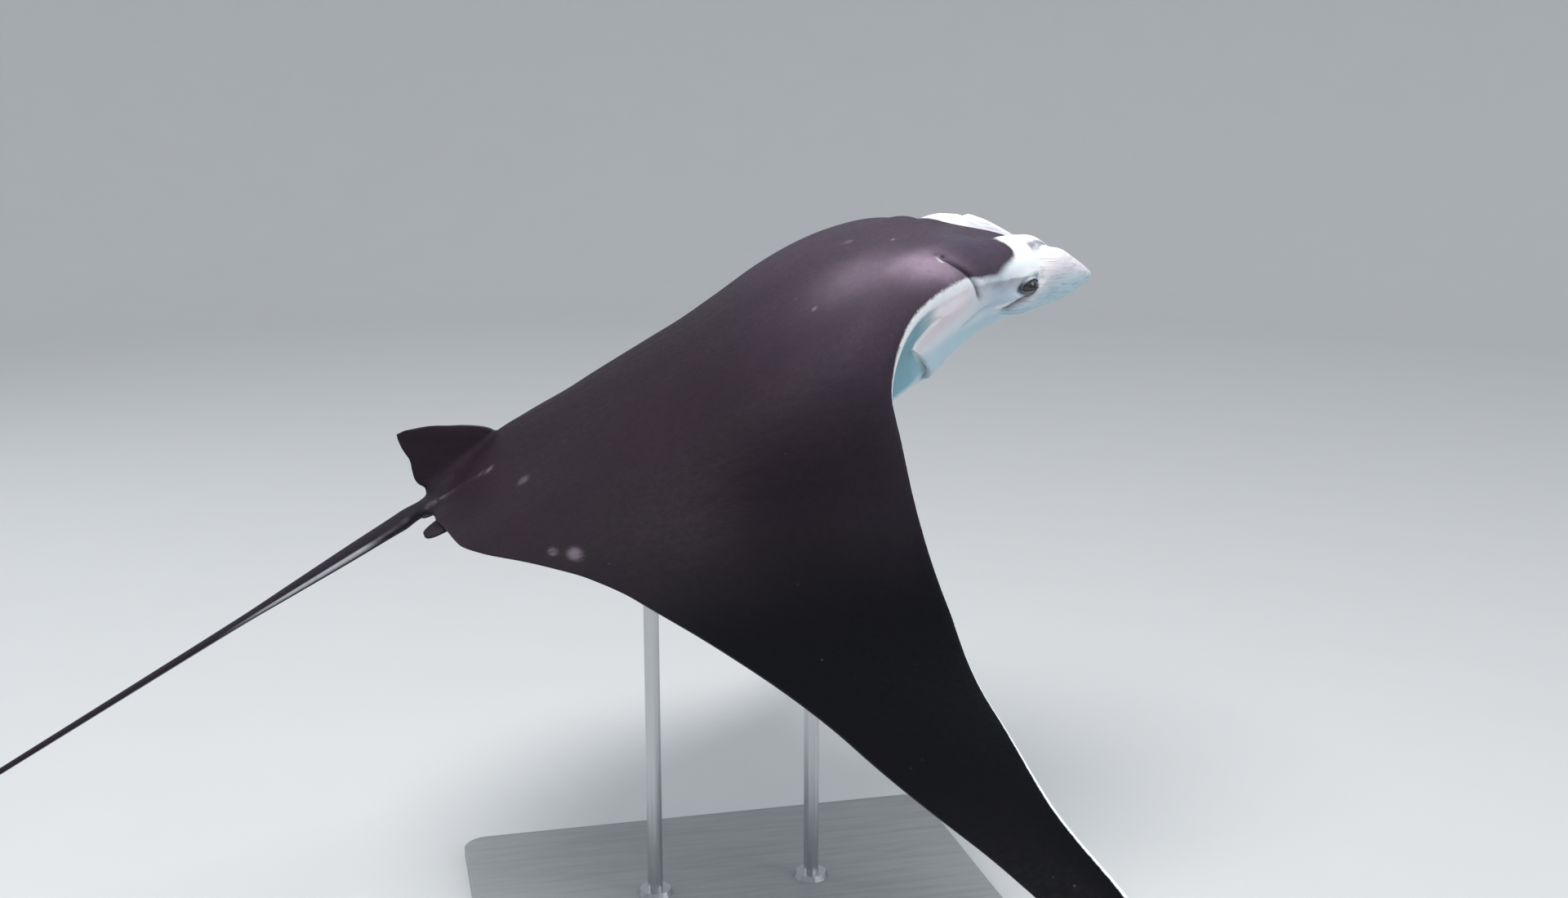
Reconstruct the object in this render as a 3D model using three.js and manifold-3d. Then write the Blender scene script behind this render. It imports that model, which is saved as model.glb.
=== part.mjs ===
// A life-size display model of a reef manta ray on a rod stand. Millimetres; +X is the head end,
// +Y the animal's left, +Z up, and the origin is under the middle of the stand's base.
// The body is drawn as a flat fin (forward, out from the middle line, height) and then posed.
import * as THREE from "three";
import Module from "manifold-3d";

const wasm = await Module();
wasm.setup();

// ---------- driving sizes ----------
const SIZE = 3400; // the tables are fractions of this; laid flat, the wings span 1.1 of it
const NOSE_UP = 18.5; // degrees the whole body climbs
const RIDE_HEIGHT = 1350; // middle of the body above the floor
const RIDE_CENTRE = -0.22; // point of the middle line that stands over the base
const GAP = 0.3; // between neighbouring parts
const EDGE_HALF = 0.0008; // half the thickness of the wing's bare edge

// Plan outline: [out from the middle, forward].
const FRONT_EDGE = [
  [0, 0.021],
  [0.045, 0.019],
  [0.075, 0.009],
  [0.093, -0.0245],
  [0.102, -0.065],
  [0.118, -0.115],
  [0.15, -0.148],
  [0.2, -0.142],
  [0.26, -0.145],
  [0.34, -0.178],
  [0.42, -0.226],
  [0.49, -0.263],
  [0.535, -0.301],
  [0.55, -0.329],
];
const REAR_EDGE = [
  [0, -0.45],
  [0.05, -0.442],
  [0.1, -0.435],
  [0.17, -0.372],
  [0.25, -0.334],
  [0.34, -0.296],
  [0.42, -0.287],
  [0.49, -0.301],
  [0.535, -0.321],
  [0.55, -0.334],
];
// Height over and under the middle plane along the middle line: [forward, height].
const BACK = [
  [0.03, 0.006],
  [0.018, 0.0095],
  [0.004, 0.0155],
  [-0.012, 0.0193],
  [-0.026, 0.0212],
  [-0.036, 0.0232],
  [-0.048, 0.0295],
  [-0.062, 0.0352],
  [-0.09, 0.0398],
  [-0.16, 0.046],
  [-0.24, 0.035],
  [-0.32, 0.0315],
  [-0.36, 0.0375],
  [-0.39, 0.0465],
  [-0.42, 0.05],
  [-0.46, 0.035],
];
const BELLY = [
  [0.03, 0.011],
  [0, 0.017],
  [-0.04, 0.028],
  [-0.1, 0.056],
  [-0.18, 0.059],
  [-0.26, 0.05],
  [-0.34, 0.034],
  [-0.42, 0.018],
  [-0.46, 0.011],
];
// How far out the body's hump reaches, [forward, out], and the wing's own half thickness, [out, half].
const BODY_REACH = [
  [0, 0.103],
  [-0.06, 0.099],
  [-0.12, 0.103],
  [-0.2, 0.103],
  [-0.3, 0.086],
  [-0.36, 0.062],
  [-0.4, 0.045],
  [-0.46, 0.036],
];
const WING_HALF = [
  [0, 0.01],
  [0.12, 0.012],
  [0.2, 0.011],
  [0.3, 0.007],
  [0.4, 0.0048],
  [0.5, 0.0032],
  [0.55, 0.0022],
];
const NOSE_RADIUS = [
  [0, 0.016],
  [0.08, 0.018],
  [0.12, 0.03],
  [0.55, 0.03],
];
// The ridge over each eye: its height, its middle and its reach.
const BROW = { lift: 0.006, out: 0.078, forward: -0.004, width: 0.016, length: 0.026 };

// Pose, by distance out from the middle: wing droop and leading-edge-down twist in degrees.
const DROOP = [
  [0, 0],
  [0.05, -1.5],
  [0.1, 20.5],
  [0.16, 59],
  [0.26, 45.3],
  [0.36, 45.3],
  [0.5, 41],
  [0.6, 41],
];
const TWIST = [
  [0, 0],
  [0.06, 0],
  [0.12, 2],
  [0.2, 23.7],
  [0.3, 36.5],
  [0.5, 16],
  [0.6, 16],
];
const TWIST_AXIS = -0.25;
const TIP_SWEEP = 0.112; // how far the tips swing forward
const ARCH = [
  [-0.6, -0.028],
  [-0.42, -0.012],
  [-0.2, 0],
  [-0.08, 0.016],
  [0.02, 0],
  [0.1, 0],
];
const SHOULDER_LIFT = 0.024; // the wing roots stand above the middle plane here
const SHOULDER_OUT = 0.125;
const SHOULDER_REACH = 0.045;

// Cuts between the body's parts.
const NECK = -0.112;
const WING_ROOT = 0.152;

// Grid of the body: rings in each stretch of the front edge, and steps from front to rear.
const STATIONS = [3, 3, 3, 3, 3, 3, 3, 2, 2, 2, 2, 2, 2];
const CHORD_STEPS = 11;

// ---------- helpers ----------
const rad = (degrees) => (degrees * Math.PI) / 180;
const clamp = (v, low, high) => Math.min(high, Math.max(low, v));
const ease = (v) => v * v * (3 - 2 * v);
const bell = (v, middle, width) => Math.exp(-(((v - middle) / width) ** 2));
const span = (count, from, to) => {
  return Array.from({ length: count + 1 }, (_, i) => from + ((to - from) * i) / count);
};
const ring = (count, rule) => span(count - 1, 0, 2 * Math.PI * (1 - 1 / count)).map(rule);

// A smooth curve through [x, y] knots that never overshoots them.
function smoothCurve(table) {
  const knots = [...table].sort((a, b) => a[0] - b[0]);
  const rise = (i) => (knots[i + 1][1] - knots[i][1]) / (knots[i + 1][0] - knots[i][0]);
  const last = knots.length - 1;
  const slope = knots.map((_, i) => {
    if (i === 0) return rise(0);
    if (i === last) return rise(last - 1);
    const [before, after] = [rise(i - 1), rise(i)];
    if (before * after <= 0) return 0;
    const [left, right] = [knots[i][0] - knots[i - 1][0], knots[i + 1][0] - knots[i][0]];
    return (3 * (left + right)) / ((2 * right + left) / before + (right + 2 * left) / after);
  });
  return (x) => {
    const v = clamp(x, knots[0][0], knots[last][0]);
    let i = 0;
    while (i < last - 1 && v > knots[i + 1][0]) i += 1;
    const d = knots[i + 1][0] - knots[i][0];
    const k = (v - knots[i][0]) / d;
    return (
      (1 + 2 * k) * (1 - k) ** 2 * knots[i][1] +
      k * (1 - k) ** 2 * d * slope[i] +
      k * k * (3 - 2 * k) * knots[i + 1][1] +
      k * k * (k - 1) * d * slope[i + 1]
    );
  };
}

// A solid from points and triangles, turned to face out.
function solidOf(points, faces) {
  const make = (order) =>
    new wasm.Manifold(
      new wasm.Mesh({
        numProp: 3,
        vertProperties: new Float32Array(points.flatMap((p) => [p.x, p.y, p.z])),
        triVerts: new Uint32Array(order),
      }),
    );
  const made = make(faces);
  return made.volume() > 0 ? made : make([...faces].reverse());
}

// A closed solid through rings of points, capped with a fan at both ends. Up to the row
// "mirrorTo" its squares are halved the other way, so that two sides come out alike.
function loft(rings, mirrorTo = 0) {
  const size = rings[0].length;
  const points = rings.flat();
  const faces = [];
  for (let r = 0; r + 1 < rings.length; r += 1) {
    for (let i = 0; i < size; i += 1) {
      const a = r * size + i;
      const b = r * size + ((i + 1) % size);
      if (r < mirrorTo) faces.push(a, b, a + size, b, b + size, a + size);
      else faces.push(a, b, b + size, a, b + size, a + size);
    }
  }
  for (const [end, first, flip] of [
    [rings[0], 0, true],
    [rings[rings.length - 1], (rings.length - 1) * size, false],
  ]) {
    const middle = points.length;
    points.push(end.reduce((sum, p) => sum.add(p), new THREE.Vector3()).divideScalar(size));
    for (let i = 0; i < size; i += 1) {
      const a = first + i;
      const b = first + ((i + 1) % size);
      faces.push(...(flip ? [b, a, middle] : [a, b, middle]));
    }
  }
  return solidOf(points, faces);
}

// A thin closed sheet whose two faces, GAP apart, are divided alike so they never cross.
function sheet(rows, columns, rule) {
  const wide = columns.length;
  const face = (half) => rows.flatMap((u) => columns.map((v) => rule(u, v, half)));
  const points = [...face(GAP / 2), ...face(-GAP / 2)];
  const other = rows.length * wide;
  const faces = [];
  for (let r = 0; r + 1 < rows.length; r += 1) {
    for (let c = 0; c + 1 < wide; c += 1) {
      const [a, b, d, e] = [0, 1, wide, wide + 1].map((shift) => r * wide + c + shift);
      faces.push(a, b, e, a, e, d);
      faces.push(a + other, e + other, b + other, a + other, d + other, e + other);
    }
  }
  const last = rows.length - 1;
  const border = [
    ...columns.map((_, c) => c),
    ...rows.slice(1).map((_, r) => (r + 1) * wide + wide - 1),
    ...columns.slice(1).map((_, c) => last * wide + wide - 2 - c),
    ...rows.slice(1, -1).map((_, r) => (last - 1 - r) * wide),
  ];
  border.forEach((p, i) => {
    const q = border[(i + 1) % border.length];
    faces.push(q, p, p + other, q, p + other, q + other);
  });
  return solidOf(points, faces);
}

const cutAll = (solid, cutters) => cutters.reduce((rest, cutter) => rest.subtract(cutter), solid);
const largest = (solid) => solid.decompose().sort((a, b) => b.volume() - a.volume())[0];

// ---------- the flat fin ----------
const backAt = smoothCurve(BACK);
const bellyAt = smoothCurve(BELLY);
const reachAt = smoothCurve(BODY_REACH);
const wingHalfAt = smoothCurve(WING_HALF);
const noseRadiusAt = smoothCurve(NOSE_RADIUS);
const rearEdgeAt = smoothCurve(REAR_EDGE);
const frontOutAt = smoothCurve(FRONT_EDGE.map(([out], i) => [i, out]));
const frontForwardAt = smoothCurve(FRONT_EDGE.map(([, forward], i) => [i, forward]));
const frontEdge = span(144, 0, FRONT_EDGE.length - 1).map((k) => [frontOutAt(k), frontForwardAt(k)]);

function frontDistance(forward, out) {
  let least = Infinity;
  for (let i = 0; i + 1 < frontEdge.length; i += 1) {
    const [a, b] = [frontEdge[i], frontEdge[i + 1]];
    const along = [b[0] - a[0], b[1] - a[1]];
    const k = ((out - a[0]) * along[0] + (forward - a[1]) * along[1]) / (along[0] ** 2 + along[1] ** 2);
    const [dx, dy] = [0, 1].map((j) => [out, forward][j] - a[j] - clamp(k, 0, 1) * along[j]);
    least = Math.min(least, Math.hypot(dx, dy));
  }
  return least;
}

// Half heights of the body before its edges are rounded: [over, under].
function fullHeights(forward, out) {
  const hump = Math.exp(-((Math.abs(out) / reachAt(forward)) ** 2.4));
  const wing = wingHalfAt(Math.abs(out));
  const brow = bell(Math.abs(out), BROW.out, BROW.width) * bell(forward, BROW.forward, BROW.length);
  return [backAt(forward) * hump + wing + BROW.lift * brow, bellyAt(forward) * hump + 0.8 * wing];
}

function heights(forward, out, chord, toRear) {
  const nose = Math.min(noseRadiusAt(Math.abs(out)), 0.4 * chord);
  const taper = Math.min(0.2, 0.75 * chord);
  const front = Math.sqrt(1 - (1 - Math.min(frontDistance(forward, Math.abs(out)) / nose, 1)) ** 2);
  const rear = Math.min(toRear / taper, 1);
  const edge = front * rear * (2 - rear);
  return fullHeights(forward, out).map((full) => full * edge + EDGE_HALF);
}

// ---------- the pose ----------
const droopAt = smoothCurve(DROOP);
const twistAt = smoothCurve(TWIST);
const archAt = smoothCurve(ARCH);
const PATH_STEP = 0.0025;
const PATH = [[0, 0]];
for (let out = 0; out < 0.6; out += PATH_STEP) {
  const [y, z] = PATH[PATH.length - 1];
  const droop = rad((droopAt(out) + droopAt(out + PATH_STEP)) / 2);
  PATH.push([y + PATH_STEP * Math.cos(droop), z - PATH_STEP * Math.sin(droop)]);
}

function spanPoint(out) {
  const place = clamp(out / PATH_STEP, 0, PATH.length - 1.001);
  const [low, high] = [PATH[Math.floor(place)], PATH[Math.floor(place) + 1]];
  return [0, 1].map((j) => low[j] + (high[j] - low[j]) * (place % 1));
}

// From the body's own axes, in fractions of SIZE, to the model's.
function stand(forward, left, up) {
  const [c, s] = [Math.cos(rad(NOSE_UP)), Math.sin(rad(NOSE_UP))];
  const ahead = forward - RIDE_CENTRE;
  return new THREE.Vector3(
    SIZE * (ahead * c - up * s),
    SIZE * left,
    SIZE * (ahead * s + up * c) + RIDE_HEIGHT,
  );
}

// From the flat fin to the model's axes.
function pose(forward, out, height) {
  const far = Math.abs(out);
  const side = out < 0 ? -1 : 1;
  const root = bell(far, SHOULDER_OUT, SHOULDER_REACH);
  const lifted = height + SHOULDER_LIFT * root * ease(clamp((forward + 0.32) / 0.2, 0, 1));
  const [droop, twist] = [rad(droopAt(far)), rad(twistAt(far))];
  const ahead = forward - TWIST_AXIS;
  const sweep = TIP_SWEEP * (clamp(far - 0.2, 0, 1) / 0.3) ** 2;
  const x = TWIST_AXIS + ahead * Math.cos(twist) + lifted * Math.sin(twist) + sweep;
  const off = lifted * Math.cos(twist) - ahead * Math.sin(twist);
  const [y, z] = spanPoint(far);
  return stand(x, side * (y + off * Math.sin(droop)), z + off * Math.cos(droop) + archAt(x));
}

// ---------- body and wings ----------
function bodyRing(knot) {
  const side = knot < 0 ? -1 : 1;
  const out = frontOutAt(Math.abs(knot));
  const front = frontForwardAt(Math.abs(knot));
  const chord = front - rearEdgeAt(out);
  const over = [];
  const under = [];
  for (const step of span(CHORD_STEPS, 0, Math.PI)) {
    const back = (chord * (1 - Math.cos(step))) / 2;
    const [up, down] = heights(front - back, out, chord, chord - back);
    over.push(pose(front - back, side * out, up));
    under.unshift(pose(front - back, side * out, -down));
  }
  return [...over, ...under];
}

const inner = STATIONS.flatMap((count, i) => span(count, i, i + 1).slice(0, -1));
const leftKnots = [...inner, STATIONS.length];
const rightKnots = leftKnots.slice(1).map((knot) => -knot);
const wholeBody = loft([...rightKnots.reverse(), ...leftKnots].map(bodyRing), rightKnots.length);

// ---------- cuts between parts ----------
const HEIGHT_STEPS = span(4, -1, 1);
const reachThrough = (forward, out, v) => {
  const [up, down] = fullHeights(forward, out);
  return v * ((v > 0 ? up : down) + 0.012);
};
const neckCut = sheet(span(14, -0.14, 0.14), HEIGHT_STEPS, (out, v, half) => {
  return pose(NECK + half / SIZE, out, reachThrough(NECK, out, v));
});
const wingCut = (side) =>
  sheet(span(13, -0.5, -0.11), HEIGHT_STEPS, (forward, v, half) => {
    return pose(forward, side * (WING_ROOT + half / SIZE), reachThrough(forward, WING_ROOT, v));
  });

// ---------- mouth and gills ----------
const MOUTH_HALF_WIDTH = 0.06;
const MOUTH_BACK = -0.06;
const MOUTH_FRONT = 0.05;
const MOUTH_HALF_HEIGHT = 0.011;
const MOUTH_LEVEL = -0.004;

const mouth = loft(
  span(6, MOUTH_BACK, MOUTH_FRONT).map((forward) => {
    const k = Math.sqrt(clamp((forward - MOUTH_BACK) / -MOUTH_BACK, 0.02, 1));
    return ring(18, (turn) => {
      const out = MOUTH_HALF_WIDTH * (0.6 + 0.4 * k) * Math.cos(turn);
      return pose(forward, out, MOUTH_LEVEL + MOUTH_HALF_HEIGHT * k * Math.sin(turn));
    });
  }),
);

const GILLS = 5;
const GILL_FIRST = -0.094;
const GILL_SPACING = 0.031;
const GILL_HALF_WIDTH = 0.0012;
const GILL_DEPTH = 0.006;
const gillInner = (i) => 0.034 - 0.002 * i;
const gillOuter = (i) => 0.101 - 0.011 * i;

function gill(i, side) {
  return loft(
    span(4, 0, 1).map((k) => {
      const out = gillInner(i) + k * (gillOuter(i) - gillInner(i));
      const forward = GILL_FIRST - GILL_SPACING * i - 0.004 * k - 0.0135 * k ** 3;
      const under = -fullHeights(forward, out)[1];
      const corner = (a, b) => pose(forward + a * GILL_HALF_WIDTH, side * out, under + b);
      return [corner(-1, -0.01), corner(1, -0.01), corner(1, GILL_DEPTH), corner(-1, GILL_DEPTH)];
    }),
  );
}

// ---------- fins, tail and eyes ----------
// A head fin: a curved blade rooted on the side of the head that hooks in ahead of the mouth.
const HEAD_FIN_PATH = [
  [0, -0.045, 0.087],
  [0.3, -0.015, 0.0835],
  [0.55, 0.012, 0.078],
  [0.8, 0.0325, 0.062],
  [1, 0.042, 0.036],
];
const HEAD_FIN_TOP = [
  [0, -0.018],
  [0.25, -0.006],
  [0.4, 0.0175],
  [0.45, 0.0192],
  [0.5, 0.0185],
  [0.6, 0.0115],
  [0.7, 0.0025],
  [0.8, -0.0055],
  [1, -0.0165],
];
const HEAD_FIN_BOTTOM = [
  [0, -0.027],
  [0.12, -0.03],
  [0.3, -0.0268],
  [0.55, -0.0215],
  [0.8, -0.0187],
  [1, -0.0187],
];
const HEAD_FIN_HALF = [
  [0, 0.004],
  [0.3, 0.0055],
  [0.7, 0.004],
  [1, 0.0016],
];
const LEFT_FIN_RAISE = 0.0115; // the left one is held a little higher
const headFinForward = smoothCurve(HEAD_FIN_PATH.map(([k, forward]) => [k, forward]));
const headFinOut = smoothCurve(HEAD_FIN_PATH.map(([k, , out]) => [k, out]));
const headFinTop = smoothCurve(HEAD_FIN_TOP);
const headFinBottom = smoothCurve(HEAD_FIN_BOTTOM);
const headFinHalf = smoothCurve(HEAD_FIN_HALF);

function headFin(side, grow) {
  const more = grow / SIZE;
  return loft(
    span(11, 0, 1).map((k) => {
      const [x, y] = [headFinForward(k), headFinOut(k)];
      const ahead = [headFinForward, headFinOut].map((at) => at(k + 0.01) - at(k - 0.01));
      const length = Math.hypot(...ahead);
      const [nx, ny] = [-ahead[1] / length, ahead[0] / length];
      const raise = side > 0 ? LEFT_FIN_RAISE * ease(clamp((k - 0.2) / 0.5, 0, 1)) : 0;
      const [top, bottom] = [headFinTop(k) + raise, headFinBottom(k) + raise];
      const end = (k === 0 ? -more : 0) + (k === 1 ? more : 0);
      return ring(10, (turn) => {
        const off = (headFinHalf(k) + more) * Math.sin(turn);
        const height = (top + bottom) / 2 + ((top - bottom) / 2 + more) * Math.cos(turn);
        const bow = -0.003 * Math.cos(turn) ** 2;
        return pose(x + nx * (off + bow) + end, side * (y + ny * (off + bow)), height);
      });
    }),
  );
}

// An eye bulging from the side of the head.
const EYE_FORWARD = -0.02;
const EYE_OUT = 0.087;
const EYE_LEVEL = -0.008;
const EYE_RADIUS = 28;

function eye(side, grow) {
  const ball = new THREE.SphereGeometry(EYE_RADIUS + grow, 14, 9);
  const centre = pose(EYE_FORWARD, side * EYE_OUT, EYE_LEVEL);
  return fromGeometry(ball.translate(centre.x, centre.y, centre.z));
}

// A geometry from three.js as a solid, its doubled seam points joined.
function fromGeometry(geometry) {
  const source = geometry.index ? geometry.toNonIndexed() : geometry;
  const where = source.getAttribute("position");
  const seen = new Map();
  const points = [];
  const order = [];
  for (let i = 0; i < where.count; i += 1) {
    const p = new THREE.Vector3().fromBufferAttribute(where, i);
    const key = p.toArray().map((v) => Math.round(v * 1000)).join();
    if (!seen.has(key)) {
      seen.set(key, points.length);
      points.push(p);
    }
    order.push(seen.get(key));
  }
  const faces = [];
  for (let i = 0; i < order.length; i += 3) {
    const [a, b, c] = order.slice(i, i + 3);
    if (a !== b && b !== c && c !== a) faces.push(a, b, c);
  }
  return solidOf(points, faces);
}

// The tail, in the body's own axes: a whip that droops from the end of the body.
const TAIL_START = [-0.4, 0];
const TAIL_LENGTH = 0.55;
const TAIL_DROOP = 11.5; // degrees, from the body's middle line
const TAIL_RADIUS = [
  [0, 0.012],
  [0.08, 0.0092],
  [0.13, 0.007],
  [0.2, 0.0061],
  [0.28, 0.0046],
  [0.36, 0.0032],
  [0.5, 0.0027],
  [0.7, 0.0022],
  [1, 0.0008],
];
const TAIL_JOINTS = [0.36, 0.68];
const tailRadius = smoothCurve(TAIL_RADIUS);

function tailPiece(from, to, grow) {
  const count = Math.max(6, Math.round((to - from) * 24));
  const more = grow / SIZE;
  return loft(
    span(count, from, to).map((k, i) => {
      const end = i === 0 ? -more : i === count ? more : 0;
      const run = k * TAIL_LENGTH + end;
      const x = TAIL_START[0] - run * Math.cos(rad(TAIL_DROOP));
      const z = TAIL_START[1] - run * Math.sin(rad(TAIL_DROOP));
      const radius = tailRadius(k) + more;
      return ring(8, (turn) => stand(x, 1.15 * radius * Math.cos(turn), z + 0.9 * radius * Math.sin(turn)));
    }),
  );
}

// The dorsal fin, on the root of the tail: [rise, front, rear] of its outline.
const DORSAL_OUTLINE = [
  [0.004, -0.366, -0.436],
  [0.0145, -0.3725, -0.4435],
  [0.0188, -0.3755, -0.4525],
  [0.0296, -0.383, -0.4491],
  [0.0381, -0.3915, -0.4475],
  [0.0449, -0.4037, -0.4488],
  [0.0492, -0.4141, -0.4495],
  [0.0546, -0.4271, -0.4497],
  [0.0585, -0.4425, -0.4492],
];
const DORSAL_HALF = 0.0032;
const dorsalFront = smoothCurve(DORSAL_OUTLINE.map(([rise, front]) => [rise, front]));
const dorsalRear = smoothCurve(DORSAL_OUTLINE.map(([rise, , rear]) => [rise, rear]));

function dorsalFin(grow) {
  const more = grow / SIZE;
  const [lowest, highest] = [DORSAL_OUTLINE[0][0], DORSAL_OUTLINE[DORSAL_OUTLINE.length - 1][0]];
  return loft(
    span(7, lowest, highest).map((rise, i) => {
      const [front, rear] = [dorsalFront(rise) + more, dorsalRear(rise) - more];
      const thin = 1 - (0.7 * i) / 7;
      const level = rise + (i === 0 ? -more : i === 7 ? more : 0);
      return ring(12, (turn) => {
        const back = (1 - Math.cos(turn)) / 2;
        const half = DORSAL_HALF * thin * (0.35 + 0.65 * (1 - back)) + more;
        return pose(front + (rear - front) * back, half * Math.sin(turn), level);
      });
    }),
  );
}

// A pelvic fin: a small round lobe beside the root of the tail.
const PELVIC = { start: -0.4, length: 0.056, out: 0.028, half: 0.024, level: -0.0035 };

function pelvicFin(side, grow) {
  const more = grow / SIZE;
  return loft(
    span(7, 0, 1).map((k) => {
      const forward = PELVIC.start - PELVIC.length * k + (k === 0 ? more : 0) - (k === 1 ? more : 0);
      const half = PELVIC.half * Math.sqrt(Math.max(1 - k ** 4, 0.02)) + more;
      const thick = 0.0055 - 0.0035 * k + more;
      const level = PELVIC.level * (1 + k * k);
      return ring(10, (turn) => {
        return pose(forward, side * (PELVIC.out + half * Math.cos(turn)), level + thick * Math.sin(turn));
      });
    }),
  );
}

// ---------- stand ----------
const BASE = { length: 1300, width: 900, height: 30, corner: 60, edge: 4 };
const ROD_RADIUS = 19;
const ROD_SOCKET = 20; // into the base
const COLLAR_RADIUS = 45;
const COLLAR_HEIGHT = 14;
const ROD_AT = { front: -0.16, rear: -0.29 }; // along the body's middle line
const ROD_TOP_LEVEL = -0.02; // under the body's middle plane

function plate(inset, height) {
  const [half, deep, corner] = [BASE.length / 2 - inset, BASE.width / 2 - inset, BASE.corner];
  return ring(24, (turn) => {
    const quarter = turn + 1e-6;
    const [sx, sy] = [Math.sign(Math.cos(quarter)), Math.sign(Math.sin(quarter))];
    const x = sx * (half - corner) + corner * Math.cos(quarter);
    const y = sy * (deep - corner) + corner * Math.sin(quarter);
    return new THREE.Vector3(x, y, height);
  });
}

function rod(name, grow) {
  const top = pose(ROD_AT[name], 0, ROD_TOP_LEVEL);
  const low = BASE.height - ROD_SOCKET + GAP - grow;
  const high = top.z + grow;
  const tube = new THREE.CylinderGeometry(ROD_RADIUS + grow, ROD_RADIUS + grow, high - low, 20);
  return fromGeometry(tube.rotateX(Math.PI / 2).translate(top.x, 0, (high + low) / 2));
}

function rodWithCollar(name) {
  const top = pose(ROD_AT[name], 0, ROD_TOP_LEVEL);
  const collar = new THREE.CylinderGeometry(COLLAR_RADIUS - 6, COLLAR_RADIUS, COLLAR_HEIGHT, 20);
  const level = BASE.height + GAP + COLLAR_HEIGHT / 2;
  return rod(name, 0).add(fromGeometry(collar.rotateX(Math.PI / 2).translate(top.x, 0, level)));
}

// ---------- parts ----------
const sides = { left: 1, right: -1 };
const rods = ["front", "rear"];
const gillNumbers = span(GILLS - 1, 0, GILLS - 1);
const gillCuts = Object.values(sides).flatMap((side) => gillNumbers.map((i) => gill(i, side)));
const sockets = [
  ...Object.values(sides).flatMap((side) => [headFin(side, GAP), eye(side, GAP), pelvicFin(side, GAP)]),
  dorsalFin(GAP),
  tailPiece(0, TAIL_JOINTS[0], GAP),
  ...rods.map((name) => rod(name, GAP)),
];
const pieces = cutAll(wholeBody, [mouth, ...gillCuts, ...sockets, neckCut, wingCut(1), wingCut(-1)])
  .decompose()
  .sort((a, b) => b.volume() - a.volume())
  .slice(0, 4);
const middleOf = (solid) => {
  const box = solid.boundingBox();
  return [0, 1, 2].map((j) => (box.min[j] + box.max[j]) / 2);
};
const across = [...pieces].sort((a, b) => middleOf(b)[1] - middleOf(a)[1]);
const central = pieces.filter((piece) => Math.abs(middleOf(piece)[1]) < 100);
const along = central.sort((a, b) => middleOf(b)[0] - middleOf(a)[0]);

const step = GAP / SIZE / TAIL_LENGTH;
const solids = {
  head: along[0],
  trunk: along[1],
  wing_left: across[0],
  wing_right: across[3],
  dorsal_fin: dorsalFin(0).subtract(tailPiece(0, TAIL_JOINTS[0], GAP)),
  tail_base: tailPiece(0, TAIL_JOINTS[0] - step, 0),
  tail_middle: tailPiece(TAIL_JOINTS[0], TAIL_JOINTS[1] - step, 0),
  tail_tip: tailPiece(TAIL_JOINTS[1], 1, 0),
  stand_base: cutAll(
    loft([plate(0, 0), plate(0, BASE.height - BASE.edge), plate(BASE.edge, BASE.height)]),
    rods.map((name) => rod(name, GAP)),
  ),
};
for (const [name, side] of Object.entries(sides)) {
  solids[`head_fin_${name}`] = headFin(side, 0);
  solids[`pelvic_fin_${name}`] = pelvicFin(side, 0).subtract(tailPiece(0, TAIL_JOINTS[0], GAP));
  solids[`eye_${name}`] = eye(side, 0).subtract(headFin(side, GAP));
}
for (const name of rods) solids[`stand_rod_${name}`] = rodWithCollar(name);

const COLOURS = { eye: 0x101014, stand: 0x9a9a98, tail: 0x2a2530, flesh: 0x4a4048 };
const group = new THREE.Group();
for (const [name, solid] of Object.entries(solids)) {
  const mesh = largest(solid).getMesh();
  const geometry = new THREE.BufferGeometry();
  geometry.setAttribute("position", new THREE.BufferAttribute(mesh.vertProperties, 3));
  geometry.setIndex(new THREE.BufferAttribute(mesh.triVerts, 1));
  const kind = Object.keys(COLOURS).find((key) => name.startsWith(key)) ?? "flesh";
  const part = new THREE.Mesh(geometry, new THREE.MeshStandardMaterial({ color: COLOURS[kind] }));
  part.name = name;
  group.add(part);
}

export default group;
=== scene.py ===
import math

import bmesh
import bpy
import numpy as np
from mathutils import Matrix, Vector, kdtree


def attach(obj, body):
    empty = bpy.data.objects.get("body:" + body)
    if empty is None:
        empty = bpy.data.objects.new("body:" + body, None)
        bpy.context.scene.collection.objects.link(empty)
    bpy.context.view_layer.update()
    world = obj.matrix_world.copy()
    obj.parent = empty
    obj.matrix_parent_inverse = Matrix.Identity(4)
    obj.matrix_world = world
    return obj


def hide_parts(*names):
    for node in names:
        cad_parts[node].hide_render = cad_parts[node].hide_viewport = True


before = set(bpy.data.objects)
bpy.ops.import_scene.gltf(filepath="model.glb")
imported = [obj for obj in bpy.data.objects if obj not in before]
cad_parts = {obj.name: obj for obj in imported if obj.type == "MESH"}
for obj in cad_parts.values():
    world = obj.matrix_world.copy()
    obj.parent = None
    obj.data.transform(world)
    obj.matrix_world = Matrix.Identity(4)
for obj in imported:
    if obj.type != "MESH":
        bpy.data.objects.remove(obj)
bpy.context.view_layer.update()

# --- sizes: the same tables as the solids, as fractions of SIZE ---
SIZE = 3.4  # metres
NOSE_UP = 18.5  # degrees of climb
RIDE_HEIGHT = 1.35  # metres from the floor to the point that the body turns about
RIDE_CENTRE = -.22  # how far forward that point lies
EDGE_HALF = .0008  # half the thinnest edge
FAR_OFF = 9  # further than anything here
PATH_STEP = .0025
# what each stretch of the skin belongs to
BODY, HEAD_FIN, TAIL, DORSAL_FIN, PELVIC_FIN, MOUTH = range(6)
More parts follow.
